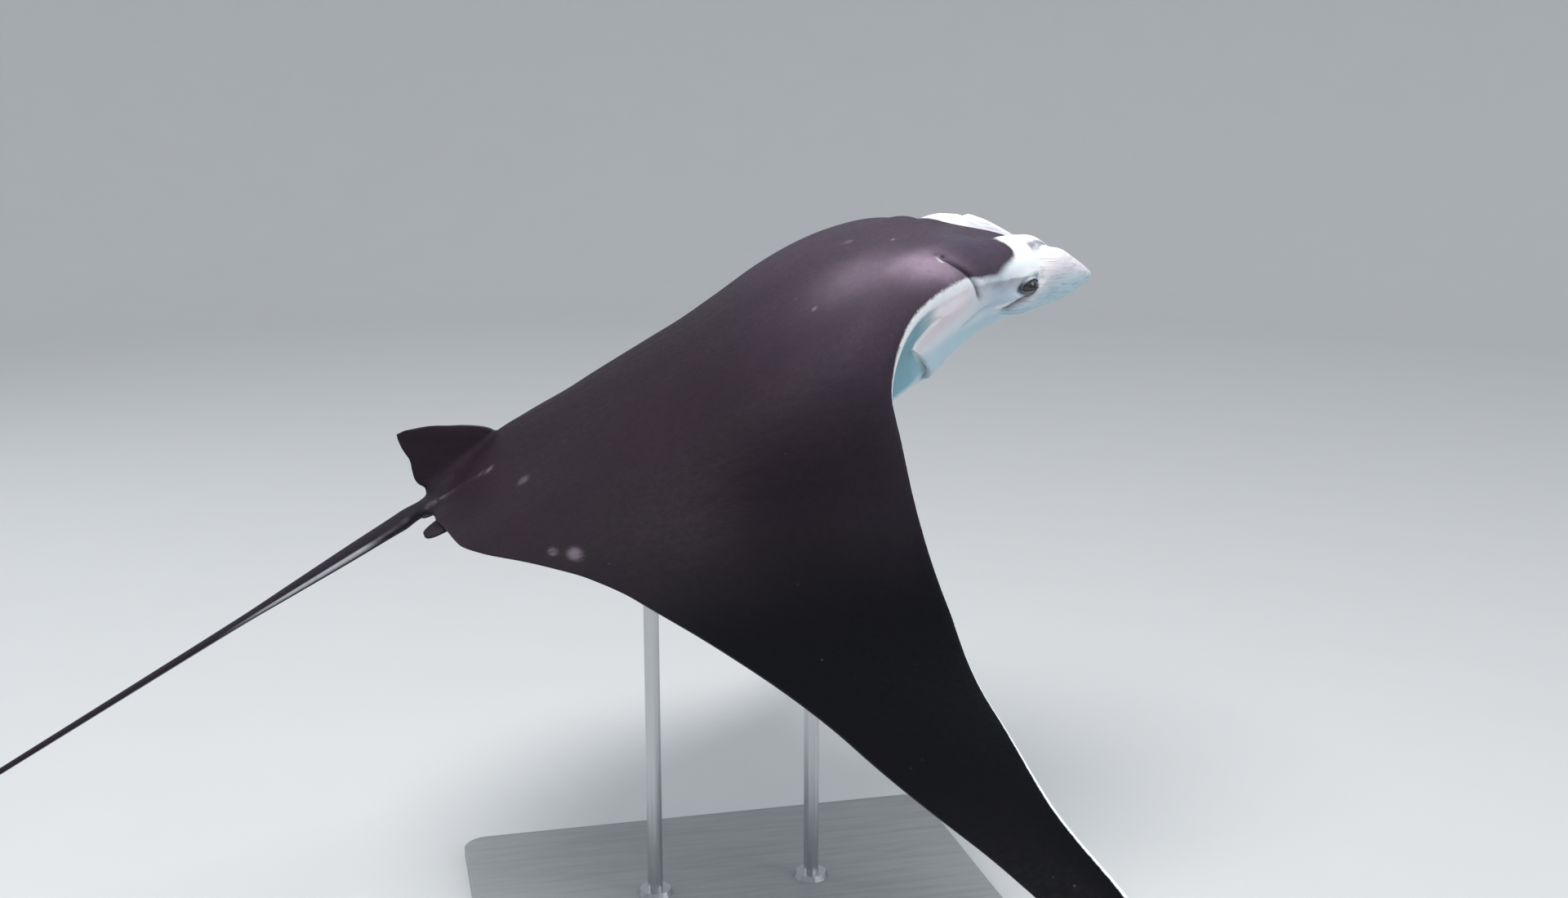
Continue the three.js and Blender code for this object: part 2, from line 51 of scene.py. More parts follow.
# (forward, out) along the wings' edges, from the middle to the tip
FRONT_EDGE = [(0, .021), (.045, .019), (.075, .009), (.093, -.0245), (.102, -.065), (.118, -.115),
              (.15, -.148), (.2, -.142), (.26, -.145), (.34, -.178), (.42, -.226), (.49, -.263),
              (.535, -.301), (.55, -.329)]
REAR_EDGE = [(0, -.45), (.05, -.442), (.1, -.435), (.17, -.372), (.25, -.334), (.34, -.296),
             (.42, -.287), (.49, -.301), (.535, -.321), (.55, -.334)]
# (forward, height) over the middle line
BACK = [(.03, .006), (.018, .0095), (.004, .0155), (-.012, .0193), (-.026, .0212), (-.036, .0232),
        (-.048, .0295), (-.062, .0352), (-.09, .0398), (-.16, .046), (-.24, .035), (-.32, .0315),
        (-.36, .0375), (-.39, .0465), (-.42, .05), (-.46, .035)]
BELLY = [(.03, .011), (0, .017), (-.04, .028), (-.1, .056), (-.18, .059), (-.26, .05), (-.34, .034),
         (-.42, .018), (-.46, .011)]
# (forward, out): how wide the hump of the body is
BODY_REACH = [(0, .103), (-.06, .099), (-.12, .103), (-.2, .103), (-.3, .086), (-.36, .062),
              (-.4, .045), (-.46, .036)]
# (out, ...): the wing's thickness, the roundness of its front edge, its droop and its twist in degrees
WING_HALF = [(0, .01), (.12, .012), (.2, .011), (.3, .007), (.4, .0048), (.5, .0032), (.55, .0022)]
NOSE_RADIUS = [(0, .016), (.08, .018), (.12, .03), (.55, .03)]
DROOP = [(0, 0), (.05, -1.5), (.1, 20.5), (.16, 59), (.26, 45.3), (.36, 45.3), (.5, 41), (.6, 41)]
TWIST = [(0, 0), (.06, 0), (.12, 2), (.2, 23.7), (.3, 36.5), (.5, 16), (.6, 16)]
TWIST_AXIS = -.25
TIP_SWEEP = .112
ARCH = [(-.6, -.028), (-.42, -.012), (-.2, 0), (-.08, .016), (.02, 0), (.1, 0)]
SHOULDER_LIFT, SHOULDER_OUT, SHOULDER_REACH = .024, .125, .045
BROW_LIFT, BROW_OUT, BROW_FORWARD = .006, .078, -.004  # the ridge over the eye
BROW_WIDTH, BROW_LENGTH = .016, .026


def smooth(table, v):
    """A smooth curve through (x, y) knots that never overshoots them."""
    p = np.array(sorted(table), float)
    x, y = p[:, 0], p[:, 1]
    dx = np.diff(x)
    m = np.diff(y) / dx
    t = np.empty(len(x))
    t[0], t[-1] = m[0], m[-1]
    for i in range(1, len(x) - 1):
        if m[i - 1] * m[i] <= 0:
            t[i] = 0
        else:
            a, b = 2 * dx[i] + dx[i - 1], dx[i] + 2 * dx[i - 1]
            t[i] = (a + b) / (a / m[i - 1] + b / m[i])
    v = np.clip(v, x[0], x[-1])
    i = np.clip(np.searchsorted(x, v) - 1, 0, len(x) - 2)
    d = x[i + 1] - x[i]
    k = (v - x[i]) / d
    return ((1 + 2 * k) * (1 - k) ** 2 * y[i] + k * (1 - k) ** 2 * d * t[i] + k * k * (3 - 2 * k) * y[i + 1]
            + k * k * (k - 1) * d * t[i + 1])


def step(low, high, v):
    k = np.clip((v - low) / (high - low), 0, 1)
    return k * k * (3 - 2 * k)


def bell(v, middle, width):
    return np.exp(-((v - middle) / width) ** 2)


FRONT_OUT = [(i, p[0]) for i, p in enumerate(FRONT_EDGE)]
FRONT_FORWARD = [(i, p[1]) for i, p in enumerate(FRONT_EDGE)]
KNOTS = np.linspace(0, len(FRONT_EDGE) - 1, 145)
FRONT_LINE = np.stack([smooth(FRONT_OUT, KNOTS), smooth(FRONT_FORWARD, KNOTS)], -1)


def line_distance(line, x, y):
    """How far each (x, y) is from a line of points, and where along it, 0 to 1, the nearest place is."""
    least, where = np.full(np.shape(x), float(FAR_OFF)), np.zeros(np.shape(x))
    for i, (a, b) in enumerate(zip(line[:-1], line[1:])):
        along = b - a
        t = np.clip(((x - a[0]) * along[0] + (y - a[1]) * along[1]) / (along @ along), 0, 1)
        d = np.hypot(x - a[0] - t * along[0], y - a[1] - t * along[1])
        where = np.where(d < least, (i + t) / (len(line) - 1), where)
        least = np.minimum(least, d)
    return least, where


def front_distance(x, s):
    return line_distance(FRONT_LINE, s, x)[0]


def full_heights(x, s):
    hump = np.exp(-(np.abs(s) / smooth(BODY_REACH, x)) ** 2.4)
    wing = smooth(WING_HALF, np.abs(s))
    brow = BROW_LIFT * bell(np.abs(s), BROW_OUT, BROW_WIDTH) * bell(x, BROW_FORWARD, BROW_LENGTH)
    return smooth(BACK, x) * hump + wing + brow, smooth(BELLY, x) * hump + .8 * wing


# the drooping line that the wing's skin follows, from the body's middle outwards
PATH_S = np.arange(0, .6025, PATH_STEP)
_droop = np.radians((smooth(DROOP, PATH_S[:-1]) + smooth(DROOP, PATH_S[1:])) / 2)
PATH_Y = np.concatenate([[0], np.cumsum(PATH_STEP * np.cos(_droop))])
PATH_Z = np.concatenate([[0], -np.cumsum(PATH_STEP * np.sin(_droop))])


def stand(x, y, z):
    """From the posed body's own axes to the room: nose up, at its height over the floor, in metres."""
    c, s = math.cos(math.radians(NOSE_UP)), math.sin(math.radians(NOSE_UP))
    ahead = x - RIDE_CENTRE
    return np.stack([SIZE * (ahead * c - z * s), SIZE * y,
                     SIZE * (ahead * s + z * c) + RIDE_HEIGHT], -1)


def pose(x, s, h):
    """From the flat fin (forward, out, height) to the model's axes, in metres."""
    x, s, h = np.broadcast_arrays(np.asarray(x, float), np.asarray(s, float), np.asarray(h, float))
    far, side = np.abs(s), np.where(s < 0, -1.0, 1.0)
    h = h + SHOULDER_LIFT * bell(far, SHOULDER_OUT, SHOULDER_REACH) * step(-.32, -.12, x)
    droop, twist = np.radians(smooth(DROOP, far)), np.radians(smooth(TWIST, far))
    ahead = x - TWIST_AXIS
    new_x = TWIST_AXIS + ahead * np.cos(twist) + h * np.sin(twist)
    new_x += TIP_SWEEP * (np.clip(far - .2, 0, 1) / .3) ** 2
    off = h * np.cos(twist) - ahead * np.sin(twist)
    y, z = np.interp(far, PATH_S, PATH_Y), np.interp(far, PATH_S, PATH_Z)
    return stand(new_x, side * (y + off * np.sin(droop)), z + off * np.cos(droop) + smooth(ARCH, new_x))


def surface(x, s, side):
    """The posed skin above (side 1) or below (side -1) the place (forward, out) of the flat fin."""
    far = np.abs(s)
    front, rear = np.interp(far, FRONT_LINE[:, 0], FRONT_LINE[:, 1]), smooth(REAR_EDGE, far)
    chord = np.maximum(front - rear, 1e-6)
    nose, taper = np.minimum(smooth(NOSE_RADIUS, far), .4 * chord), np.minimum(.2, .75 * chord)
    ahead = np.sqrt(np.clip(1 - (1 - np.minimum(front_distance(x, far) / nose, 1)) ** 2, 0, 1))
    behind = np.clip((x - rear) / taper, 0, 1)
    edge = ahead * behind * (2 - behind)
    up, down = full_heights(x, far)
    calm = step(0, .5, ahead) * step(0, .2, behind)
    over = up * edge + EDGE_HALF + back_detail(x, far) * calm
    under = down * edge + EDGE_HALF + belly_detail(x, far) * calm
    return pose(x, s, np.where(side > 0, over, -under))


# --- the skin's own detail, as changes of height in the flat fin ---
MM = .001 / SIZE
GILLS = 5


def gill_line(i, s):
    """Where gill slit i lies, forward, at that distance out, and how far along the slit that is."""
    inner, outer = .034 - .002 * i, .101 - .011 * i
    k = (s - inner) / (outer - inner)
    return -.094 - .031 * i - .004 * k - .0135 * np.clip(k, 0, 2) ** 3, k


def back_detail(x, s):
    d = 1.6 * MM * bell(s, 0, .006) * step(-.1, -.25, x)
    # shoulder muscle and the shallow valley inside it
    d += 7 * MM * bell(s, .062, .022) * bell(x, -.13, .07)
    d -= 5 * MM * bell(s, .028, .02) * bell(x, -.07, .05)
    return d


def belly_detail(x, s):
    d = np.zeros_like(x)
    for i in range(GILLS):
        line, k = gill_line(i, s)
        on = step(-.06, .15, k) * (1 - step(.9, 1.04, k))
        ahead = x - line  # the flap swells towards its free rear edge, and the skin behind it starts deeper
        hollow = (12 - 7 * step(.45, .85, k)) * MM
        d += 5 * MM * on * (1 - step(0, .022, ahead)) * step(-.0006, .0006, ahead)
        d -= hollow * on * (1 - step(0, .017, -ahead)) * (1 - step(-.0006, .0006, ahead))
    return d


# --- meshes ---
def mesh_object(name, points, faces, slot=0):
    mesh = bpy.data.meshes.new(name)
    mesh.from_pydata(np.asarray(points).tolist(), [], [list(f) for f in faces])
    owner = mesh.attributes.new("part", "INT", "FACE")
    owner.data.foreach_set("value", np.full(len(mesh.polygons), slot, dtype=np.int32))
    mesh.update()
    made = bpy.data.objects.new(name, mesh)
    bpy.context.scene.collection.objects.link(made)
    return made


def loft(name, rings, slot=0):
    """A closed tube through rings (rows, points, 3), with a fan over each end, facing out."""
    rows, size, _ = rings.shape
    points = np.concatenate([rings.reshape(-1, 3), [rings[0].mean(0)], [rings[-1].mean(0)]])
    r, i = np.meshgrid(np.arange(rows - 1), np.arange(size), indexing="ij")
    a, b = r * size + i, r * size + (i + 1) % size
    quads = np.stack([a, b, b + size, a + size], -1).reshape(-1, 4)
    i = np.arange(size)
    j = (i + 1) % size
    low = np.stack([j, i, np.full(size, rows * size)], -1)
    high = np.stack([i, j, np.full(size, rows * size + 1)], -1)
    high[:, :2] += (rows - 1) * size
    middle = points.mean(0)
    tri = np.concatenate([quads[:, :3], quads[:, [0, 2, 3]], low, high])
    p = points[tri] - middle
    volume = np.einsum("ij,ij->i", p[:, 0], np.cross(p[:, 1], p[:, 2])).sum()
    faces = [f.tolist() for group in (quads, low, high) for f in group]
    if volume < 0:
        faces = [f[::-1] for f in faces]
    return mesh_object(name, points, faces, slot)


def part(name, kind, rings, a, b, c, d=0):
    """A loft that keeps where each point lies in the part's own coordinates, for sculpting and markings."""
    made = loft(name, rings, kind)
    count = len(made.data.vertices)
    table = np.zeros((count, 3))
    flat = np.stack([np.broadcast_to(v, np.shape(a)).astype(float).ravel() for v in (a, b, c)], -1)
    table[:len(flat)] = flat
    table[len(flat):] = flat[-1]
    made.data.attributes.new("flat", "FLOAT_VECTOR", "POINT").data.foreach_set("vector", table.ravel())
    more = np.zeros(count)
    more[:len(flat)] = np.broadcast_to(d, np.shape(a)).ravel()
    made.data.attributes.new("turn", "FLOAT", "POINT").data.foreach_set("value", more)
    made.data.attributes.new("kind", "FLOAT", "POINT").data.foreach_set("value", np.full(count, float(kind)))
    return made


STATIONS = [18, 24, 40, 40, 34, 22, 18, 18, 22, 22, 20, 14, 10]  # rows for each stretch of the front edge
CHORD = 250  # points from the front edge to the rear one
CHORD_SPREAD = [(0, 0), (.12, .04), (.25, .13), (.5, .42), (.75, .72), (.9, .93), (1, 1)]


def make_body():
    k = np.concatenate([i + np.arange(n) / n for i, n in enumerate(STATIONS)] + [[len(STATIONS)]])
    out, front = smooth(FRONT_OUT, k), smooth(FRONT_FORWARD, k)
    rear = smooth(REAR_EDGE, out)
    t = np.linspace(0, 1, CHORD)
    u = .5 * (1 - np.cos(np.pi * t)) / 2 + .5 * smooth(CHORD_SPREAD, t)
    x = front[:, None] - (front - rear)[:, None] * u
    s = np.repeat(out[:, None], CHORD, 1)
    half = np.concatenate([surface(x, s, 1), surface(x, s, -1)[:, ::-1]], 1)
    flat = np.stack([np.concatenate([x, x[:, ::-1]], 1), np.concatenate([s, s], 1),
                     np.concatenate([np.ones_like(x), -np.ones_like(x)], 1)], -1)
    rings = np.concatenate([half[:0:-1] * [1, -1, 1], half])
    flat = np.concatenate([flat[:0:-1] * [1, -1, 1], flat])
    return part("skin", BODY, rings, flat[..., 0], flat[..., 1], flat[..., 2])


def ring_angles(n):
    return np.arange(n) * 2 * np.pi / n


HEAD_FIN_FORWARD = [(0, -.045), (.3, -.015), (.55, .012), (.8, .0325), (1, .042)]
HEAD_FIN_OUT = [(0, .087), (.3, .0835), (.55, .078), (.8, .062), (1, .036)]
HEAD_FIN_TOP = [(0, -.018), (.25, -.006), (.4, .0175), (.45, .0192), (.5, .0185), (.6, .0115),
                (.7, .0025), (.8, -.0055), (1, -.0165)]
HEAD_FIN_BOTTOM = [(0, -.027), (.12, -.03), (.3, -.0268), (.55, -.0215), (.8, -.0187), (1, -.0187)]
LEFT_FIN_RAISE = .0115
HEAD_FIN_HALF = [(0, .004), (.3, .0055), (.7, .004), (1, .0016)]


def make_head_fin(side):
    k = np.sin(np.linspace(0, 1, 80) * np.pi / 2)[:, None]
    turn = ring_angles(56)[None]
    x, y = smooth(HEAD_FIN_FORWARD, k), smooth(HEAD_FIN_OUT, k)
    ax = smooth(HEAD_FIN_FORWARD, k + .01) - smooth(HEAD_FIN_FORWARD, k - .01)
    ay = smooth(HEAD_FIN_OUT, k + .01) - smooth(HEAD_FIN_OUT, k - .01)
    length = np.hypot(ax, ay)
    nx, ny = -ay / length, ax / length
    top, bottom = smooth(HEAD_FIN_TOP, k), smooth(HEAD_FIN_BOTTOM, k)
    tip = np.sqrt(np.clip(1 - np.clip((k - .96) / .04, 0, 1) ** 2, .02, 1))
    off = smooth(HEAD_FIN_HALF, k) * np.sin(turn) * tip - .003 * np.cos(turn) ** 2
    raised = LEFT_FIN_RAISE * step(.2, .7, k) * (side > 0)
    height = raised + (top + bottom) / 2 + (top - bottom) / 2 * np.cos(turn) * tip
    rings = pose(x + nx * off, side * (y + ny * off), height)
    return part("head_fin", HEAD_FIN, rings, k + 0 * turn, side, np.cos(turn) + 0 * k, np.sin(turn) + 0 * k)


TAIL_START, TAIL_LENGTH, TAIL_DROOP = (-.4, 0), .55, math.radians(11.5)
TAIL_RADIUS = [(0, .012), (.08, .0092), (.13, .007), (.2, .0061), (.28, .0046), (.36, .0032),
               (.5, .0027), (.7, .0022), (1, .0008)]


def tail_surface(k, turn):
    radius = smooth(TAIL_RADIUS, k)
    x = TAIL_START[0] - k * TAIL_LENGTH * math.cos(TAIL_DROOP) + 0 * turn
    z = TAIL_START[1] - k * TAIL_LENGTH * math.sin(TAIL_DROOP) + .9 * radius * np.sin(turn)
    return stand(x, 1.15 * radius * np.cos(turn) * (1 + .05 * np.cos(2 * turn)), z)


def make_tail():
    k = np.linspace(0, 1, 260)[:, None]
    turn = ring_angles(28)[None]
    return part("tail", TAIL, tail_surface(k, turn), k + 0 * turn, np.cos(turn) + 0 * k, np.sin(turn) + 0 * k)


DORSAL_FRONT = [(.004, -.366), (.0145, -.3725), (.0188, -.3755), (.0296, -.383), (.0381, -.3915),
                (.0449, -.4037), (.0492, -.4141), (.0546, -.4271), (.0585, -.4425)]
DORSAL_REAR = [(.004, -.436), (.0145, -.4435), (.0188, -.4525), (.0296, -.4491), (.0381, -.4475),
               (.0449, -.4488), (.0492, -.4495), (.0546, -.4497), (.0585, -.4492)]
DORSAL_HALF, DORSAL_ROOT, DORSAL_RISE = .0032, .004, .0545


def make_dorsal_fin():
    turn = ring_angles(64)[None]
    v = np.linspace(0, 1, 60)[:, None]
    rise = DORSAL_ROOT + DORSAL_RISE * np.sin(v * np.pi / 2)
    front, rear = smooth(DORSAL_FRONT, rise), smooth(DORSAL_REAR, rise)
    back = (1 - np.cos(turn)) / 2
    half = DORSAL_HALF * (1 - .7 * v) * (.35 + .65 * (1 - back))
    rings = pose(front + (rear - front) * back, half * np.sin(turn), rise)
    return part("dorsal_fin", DORSAL_FIN, rings, v + 0 * turn, back + 0 * v, 1)


PELVIC_START, PELVIC_LENGTH, PELVIC_OUT, PELVIC_HALF = -.4, .056, .028, .024


def make_pelvic_fin(side):
    turn = ring_angles(48)[None]
    k = np.sin(np.linspace(0, 1, 60) * np.pi / 2)[:, None]
    half = PELVIC_HALF * np.sqrt(np.maximum(1 - k ** 9, .02))
    thick = .0055 - .0035 * k
    rings = pose(PELVIC_START - PELVIC_LENGTH * k, side * (PELVIC_OUT + half * np.cos(turn)),
                 -.0035 * (1 + k * k) + thick * np.sin(turn))
    return part("pelvic_fin", PELVIC_FIN, rings, k + 0 * turn, side, np.sin(turn) + 0 * k)


MOUTH_HALF_WIDTH, MOUTH_BACK, MOUTH_FRONT = .06, -.06, .05
MOUTH_HALF_HEIGHT, MOUTH_LEVEL = .011, -.004


def make_mouth():
    turn = ring_angles(96)[None]
    x = np.linspace(MOUTH_BACK, MOUTH_FRONT, 70)[:, None]
    k = np.sqrt(np.clip((x - MOUTH_BACK) / -MOUTH_BACK, .02, 1))
    rings = pose(x, MOUTH_HALF_WIDTH * (.6 + .4 * k) * np.cos(turn),
                 MOUTH_LEVEL + MOUTH_HALF_HEIGHT * k * np.sin(turn))
    return part("mouth", MOUTH, rings, x + 0 * turn, np.cos(turn) + 0 * x, np.sin(turn) + 0 * x)


def combine(base, other, how):
    cut = base.modifiers.new("cut", "BOOLEAN")
    cut.operation, cut.solver, cut.object = how, "MANIFOLD", other
    bpy.context.view_layer.update()
    made = bpy.data.meshes.new_from_object(base.evaluated_get(bpy.context.evaluated_depsgraph_get()))
    base.modifiers.clear()
    old, base.data = base.data, made
    bpy.data.meshes.remove(old)
    bpy.data.objects.remove(other)


# --- the skin as arrays ---
SEAM_STEPS = 60


class Arrays:
    """The mesh's points and their coordinates as arrays, written back by store()."""

    def __init__(self, made):
        self.mesh = made.data
        self.count = len(self.mesh.vertices)
        self.co = self.read("position", 3)
        self.flat = self.read("flat", 3)
        self.turn = self.read("turn", 1)[:, 0]
        raw_kind = self.read("kind", 1)[:, 0]
        self.kind = raw_kind.round().astype(int)
        edges = np.empty(2 * len(self.mesh.edges), dtype=np.int32)
        self.mesh.edges.foreach_get("vertices", edges)
        self.edges = edges.reshape(-1, 2)
        # the joining makes new points on and across the seams: each takes a neighbour's place
        blended = np.abs(raw_kind - self.kind) > .01
        lost = blended | ((self.flat == 0).all(1) & (self.kind == BODY))
        for _ in range(SEAM_STEPS):
            for a, b in (self.edges.T, self.edges.T[::-1]):
                pick = lost[a] & ~lost[b]
                for table in (self.flat, self.turn, self.kind):
                    table[a[pick]] = table[b[pick]]
                lost[a[pick]] = False

    def read(self, name, width):
        values = np.empty(self.count * width, dtype=np.float32)
        self.mesh.attributes[name].data.foreach_get("vector" if width == 3 else "value", values)
        return values.reshape(-1, width).astype(float)

    def keep_places(self):
        data = self.mesh.attributes
        data["flat"].data.foreach_set("vector", self.flat.ravel())
        data["turn"].data.foreach_set("value", self.turn)
        data["kind"].data.foreach_set("value", self.kind.astype(float))

    def store(self):
        self.mesh.vertices.foreach_set("co", self.co.ravel())
        self.mesh.update()

    def normals(self):
        self.store()
        values = np.empty(self.count * 3, dtype=np.float32)
        self.mesh.vertex_normals.foreach_get("vector", values)
        return values.reshape(-1, 3).astype(float)

    def write(self, name, values):
        self.mesh.attributes.new(name, "FLOAT", "POINT").data.foreach_set("value", values)

    def relax(self, weight, rounds):
        """Moves each point towards the mean of its neighbours, by its weight, again and again."""
        a, b = self.edges[(weight[self.edges] > 0).any(1)].T
        total = np.maximum(np.bincount(a, minlength=self.count) + np.bincount(b, minlength=self.count), 1)
        for _ in range(rounds):
            mean = [np.bincount(a, self.co[b, i], self.count) + np.bincount(b, self.co[a, i], self.count)
                    for i in range(3)]
            mean = np.stack(mean, -1) / total[:, None]
            self.co += (mean - self.co) * (.5 * weight)[:, None]

    def seam_weight(self, kind, reach):
        """1 on the seam round the parts of one kind, falling to 0 at that reach."""
        owner = np.empty(len(self.mesh.polygons), dtype=np.int32)
        self.mesh.attributes["part"].data.foreach_get("value", owner)
        sizes = np.empty(len(owner), dtype=np.int32)
        self.mesh.polygons.foreach_get("loop_total", sizes)
        corners = np.empty(sizes.sum(), dtype=np.int32)
        self.mesh.loops.foreach_get("vertex_index", corners)
        mine = np.repeat(owner == kind, sizes)
        touched = (np.bincount(corners, mine, self.count) > 0) & (np.bincount(corners, ~mine, self.count) > 0)
        spots = np.nonzero(touched)[0]
        tree = kdtree.KDTree(len(spots))
        for i in spots:
            tree.insert(self.co[i], int(i))
        tree.balance()
        low, high = self.co[spots].min(0) - reach, self.co[spots].max(0) + reach
        weight = np.zeros(self.count)
        for i in np.nonzero(((self.co > low) & (self.co < high)).all(1))[0]:
            weight[i] = 1 - step(.15, 1, tree.find(self.co[i])[2] / reach)
        return weight


# --- build, join and soften ---
EYE_RADIUS = .028
EYE_FORWARD, EYE_OUT, EYE_LEVEL = -.02, .087, -.008
EYE_FINER = (.075, .05)  # how near the eye the mesh is split once and twice, in metres
EYES = {"left": pose(EYE_FORWARD, EYE_OUT, EYE_LEVEL), "right": pose(EYE_FORWARD, -EYE_OUT, EYE_LEVEL)}
HEAD_AXIS = np.array([math.cos(math.radians(NOSE_UP)), 0, math.sin(math.radians(NOSE_UP))])
HEAD_UP = np.array([-HEAD_AXIS[2], 0, HEAD_AXIS[0]])


def eye_axes(side):
    """The gaze, and the lid opening's long and short directions."""
    gaze = np.array([.2, side * .95, .14])
    gaze /= np.linalg.norm(gaze)
    long = HEAD_AXIS + .12 * HEAD_UP
    long = long - gaze * (long @ gaze)
    long /= np.linalg.norm(long)
    return gaze, long, np.cross(gaze, long) * side


def join(first, *others):
    """Puts pieces that don't touch into one mesh."""
    with bpy.context.temp_override(active_object=first, object=first, selected_objects=[first, *others],
                                   selected_editable_objects=[first, *others]):
        bpy.ops.object.join()
    return first


def refine(made, centres, reaches):
    """Splits the faces near each centre, once for each reach."""
    bm = bmesh.new()
    bm.from_mesh(made.data)
    edges = np.array([(e.verts[0].index, e.verts[1].index) for e in bm.edges])
    co = np.array([v.co[:] for v in bm.verts])
    middle = co[edges].mean(1)
    every = list(bm.edges)
    for centre in centres:
        near = [every[i] for i in np.nonzero(np.linalg.norm(middle - centre, axis=1) < reaches[0])[0]]
        for reach in reaches:
            near = [e for e in near if (e.verts[0].co - Vector(centre)).length < reach]
            made_now = bmesh.ops.subdivide_edges(bm, edges=near, cuts=1, use_grid_fill=True)
            near = [g for g in made_now["geom"] if isinstance(g, bmesh.types.BMEdge)]
    bm.to_mesh(made.data)
    bm.free()


skin = make_body()
combine(skin, join(make_tail(), make_pelvic_fin(1), make_pelvic_fin(-1), make_head_fin(1), make_head_fin(-1)),
        "UNION")
combine(skin, make_dorsal_fin(), "UNION")
combine(skin, make_mouth(), "DIFFERENCE")
Arrays(skin).keep_places()
refine(skin, EYES.values(), EYE_FINER)

body = Arrays(skin)
# each part's seam: how far the smoothing reaches, in metres, and how often it is repeated
SEAMS = ((TAIL, .07, 90), (DORSAL_FIN, .016, 30), (PELVIC_FIN, .011, 14), (HEAD_FIN, .028, 170),
         (MOUTH, .01, 12))
for kind, reach, rounds in SEAMS:
    body.relax(body.seam_weight(kind, reach), rounds)

# --- the head's folds ---
crease_shade = np.zeros(body.count)  # painted shade: how much a place lies in a crease, 0 to 1, darkening the colour there
side_of = np.where(body.co[:, 1] < 0, -1.0, 1.0)
far = np.abs(body.flat[:, 1])


def carve(line, depth, half, dark=1.0, blunt=.15):
    """Presses a crease along a line of points into both sides of the skin, and paints shade into it by dark.
    """
    global crease_shade
    normal = body.normals()
    p = body.co * np.stack([np.ones(body.count), side_of, np.ones(body.count)], -1)
    line = np.asarray(line)
    low, high = line.min(0) - 4 * half, line.max(0) + 4 * half
    near = np.nonzero(((p > low) & (p < high)).all(1))[0]
    least, where = np.full(len(near), float(FAR_OFF)), np.zeros(len(near))
    for i, (a, b) in enumerate(zip(line[:-1], line[1:])):
        along = b - a
        t = np.clip((p[near] - a) @ along / (along @ along), 0, 1)
        d = np.linalg.norm(p[near] - a - t[:, None] * along, axis=1)
        where = np.where(d < least, (i + t) / (len(line) - 1), where)
        least = np.minimum(least, d)
    fade = step(0, blunt, where) * (1 - step(1 - blunt, 1, where))
    press = np.exp(-(least / half) ** 2) * fade
    body.co[near] -= normal[near] * (depth * press)[:, None]
    crease_shade[near] = np.maximum(crease_shade[near], dark * np.exp(-(least / (.7 * half)) ** 2) * fade)


def swell(centre, height, reach, only=0):
    """Raises (or sinks) a soft mound on both sides or only one, with its reach along, across and out."""
    normal = body.normals()
    p = body.co * np.stack([np.ones(body.count), side_of, np.ones(body.count)], -1) - centre
    size = (p @ HEAD_AXIS / reach[0]) ** 2 + (p @ HEAD_UP / reach[1]) ** 2 + (p[:, 1] / reach[2]) ** 2
    chosen = (side_of == only) | (only == 0)
    body.co += normal * (height * chosen * np.exp(-size))[:, None]


def on_skin(*places):
    """(forward, out, side) places on the skin, as points; side 0 is the rim."""
    out = []
    for x, s, side in places:
        p = [surface(np.array([x]), np.array([s]), k)[0] for k in ((1, -1) if side == 0 else (side, side))]
        out.append((p[0] + p[1]) / 2)
    return np.array(out)


EYE = EYES["left"]
# the ridge that carries the eye, and the cheek under it
swell(EYE - .035 * HEAD_AXIS - .004 * HEAD_UP, .012, (.055, .02, .06))
swell(EYE + .004 * HEAD_AXIS + .012 * HEAD_UP, .006, (.03, .02, .06))
# the groove that runs back from under the eye, between the ridge and the head fin
GROOVE = [EYE + a * HEAD_AXIS + b * HEAD_UP + np.array([0, c, 0])
          for a, b, c in ((.024, -.009, .01), (.006, -.0205, .012), (-.019, -.0284, .006),
                          (-.04, -.033, 0), (-.058, -.0388, -.002), (-.085, -.043, -.006))]
carve(GROOVE, .012, .008, .85)
# the spiracle and the fold that runs from it round the neck to the wing root
FOLD = on_skin((-.0815, .0905, 1), (-.078, .0936, 1), (-.0753, .0948, 1), (-.072, .0966, 1),
               (-.0687, .0979, 1), (-.0628, .1, 1), (-.0595, .1012, 0), (-.0579, .0987, -1),
               (-.0565, .095, -1))
carve(FOLD, .009, .0055, .9)
swell(on_skin((-.0762, .0943, 1))[0], -.008, (.008, .007, .02))
swell(on_skin((-.085, .1, 1))[0], .007, (.03, .03, .06))
# soft folds on the flank and behind the head
FLANK = on_skin((-.1105, .1008, -1), (-.1057, .1034, -1), (-.0966, .1058, -1), (-.0868, .1053, -1))
carve(FLANK, .006, .006, .4, .25)
carve(on_skin((-.045, .093, -1), (-.06, .089, -1), (-.075, .083, -1)), .005, .007, .25, .3)
# the left brow stands a little higher than the right one, as the fin before it does
swell(on_skin((-.016, .077, 1))[0], .009, (.055, .04, .05), 1)
swell(on_skin((-.002, .076, 1))[0], .009, (.02, .03, .05), 1)
# the crown is full between the shoulders and the brows
swell(on_skin((-.063, 0, 1))[0], .009, (.05, .05, .1))
# the right brow runs into its fin without a dip
swell(on_skin((.0055, .0785, 1))[0], .009, (.026, .03, .05), -1)
swell(on_skin((-.0085, .0755, 1))[0], -.006, (.03, .02, .04), -1)
# the keel along the side of the tail's root
KEEL = np.concatenate([on_skin((-.397, .0348, 1), (-.4056, .0318, 1), (-.4244, .0225, 1)),
                       [tail_surface(k, np.array(.25 - .1 * i))
                        for i, k in enumerate((.085, .105, .13, .16))]])
carve(KEEL, -.0055, .0065, 0, .3)
# nostrils, at the corners of the mouth
for x, s in ((.0135, .052), (.0125, .0555)):
    swell(on_skin((x, s, -1))[0], -.0045, (.005, .004, .03))

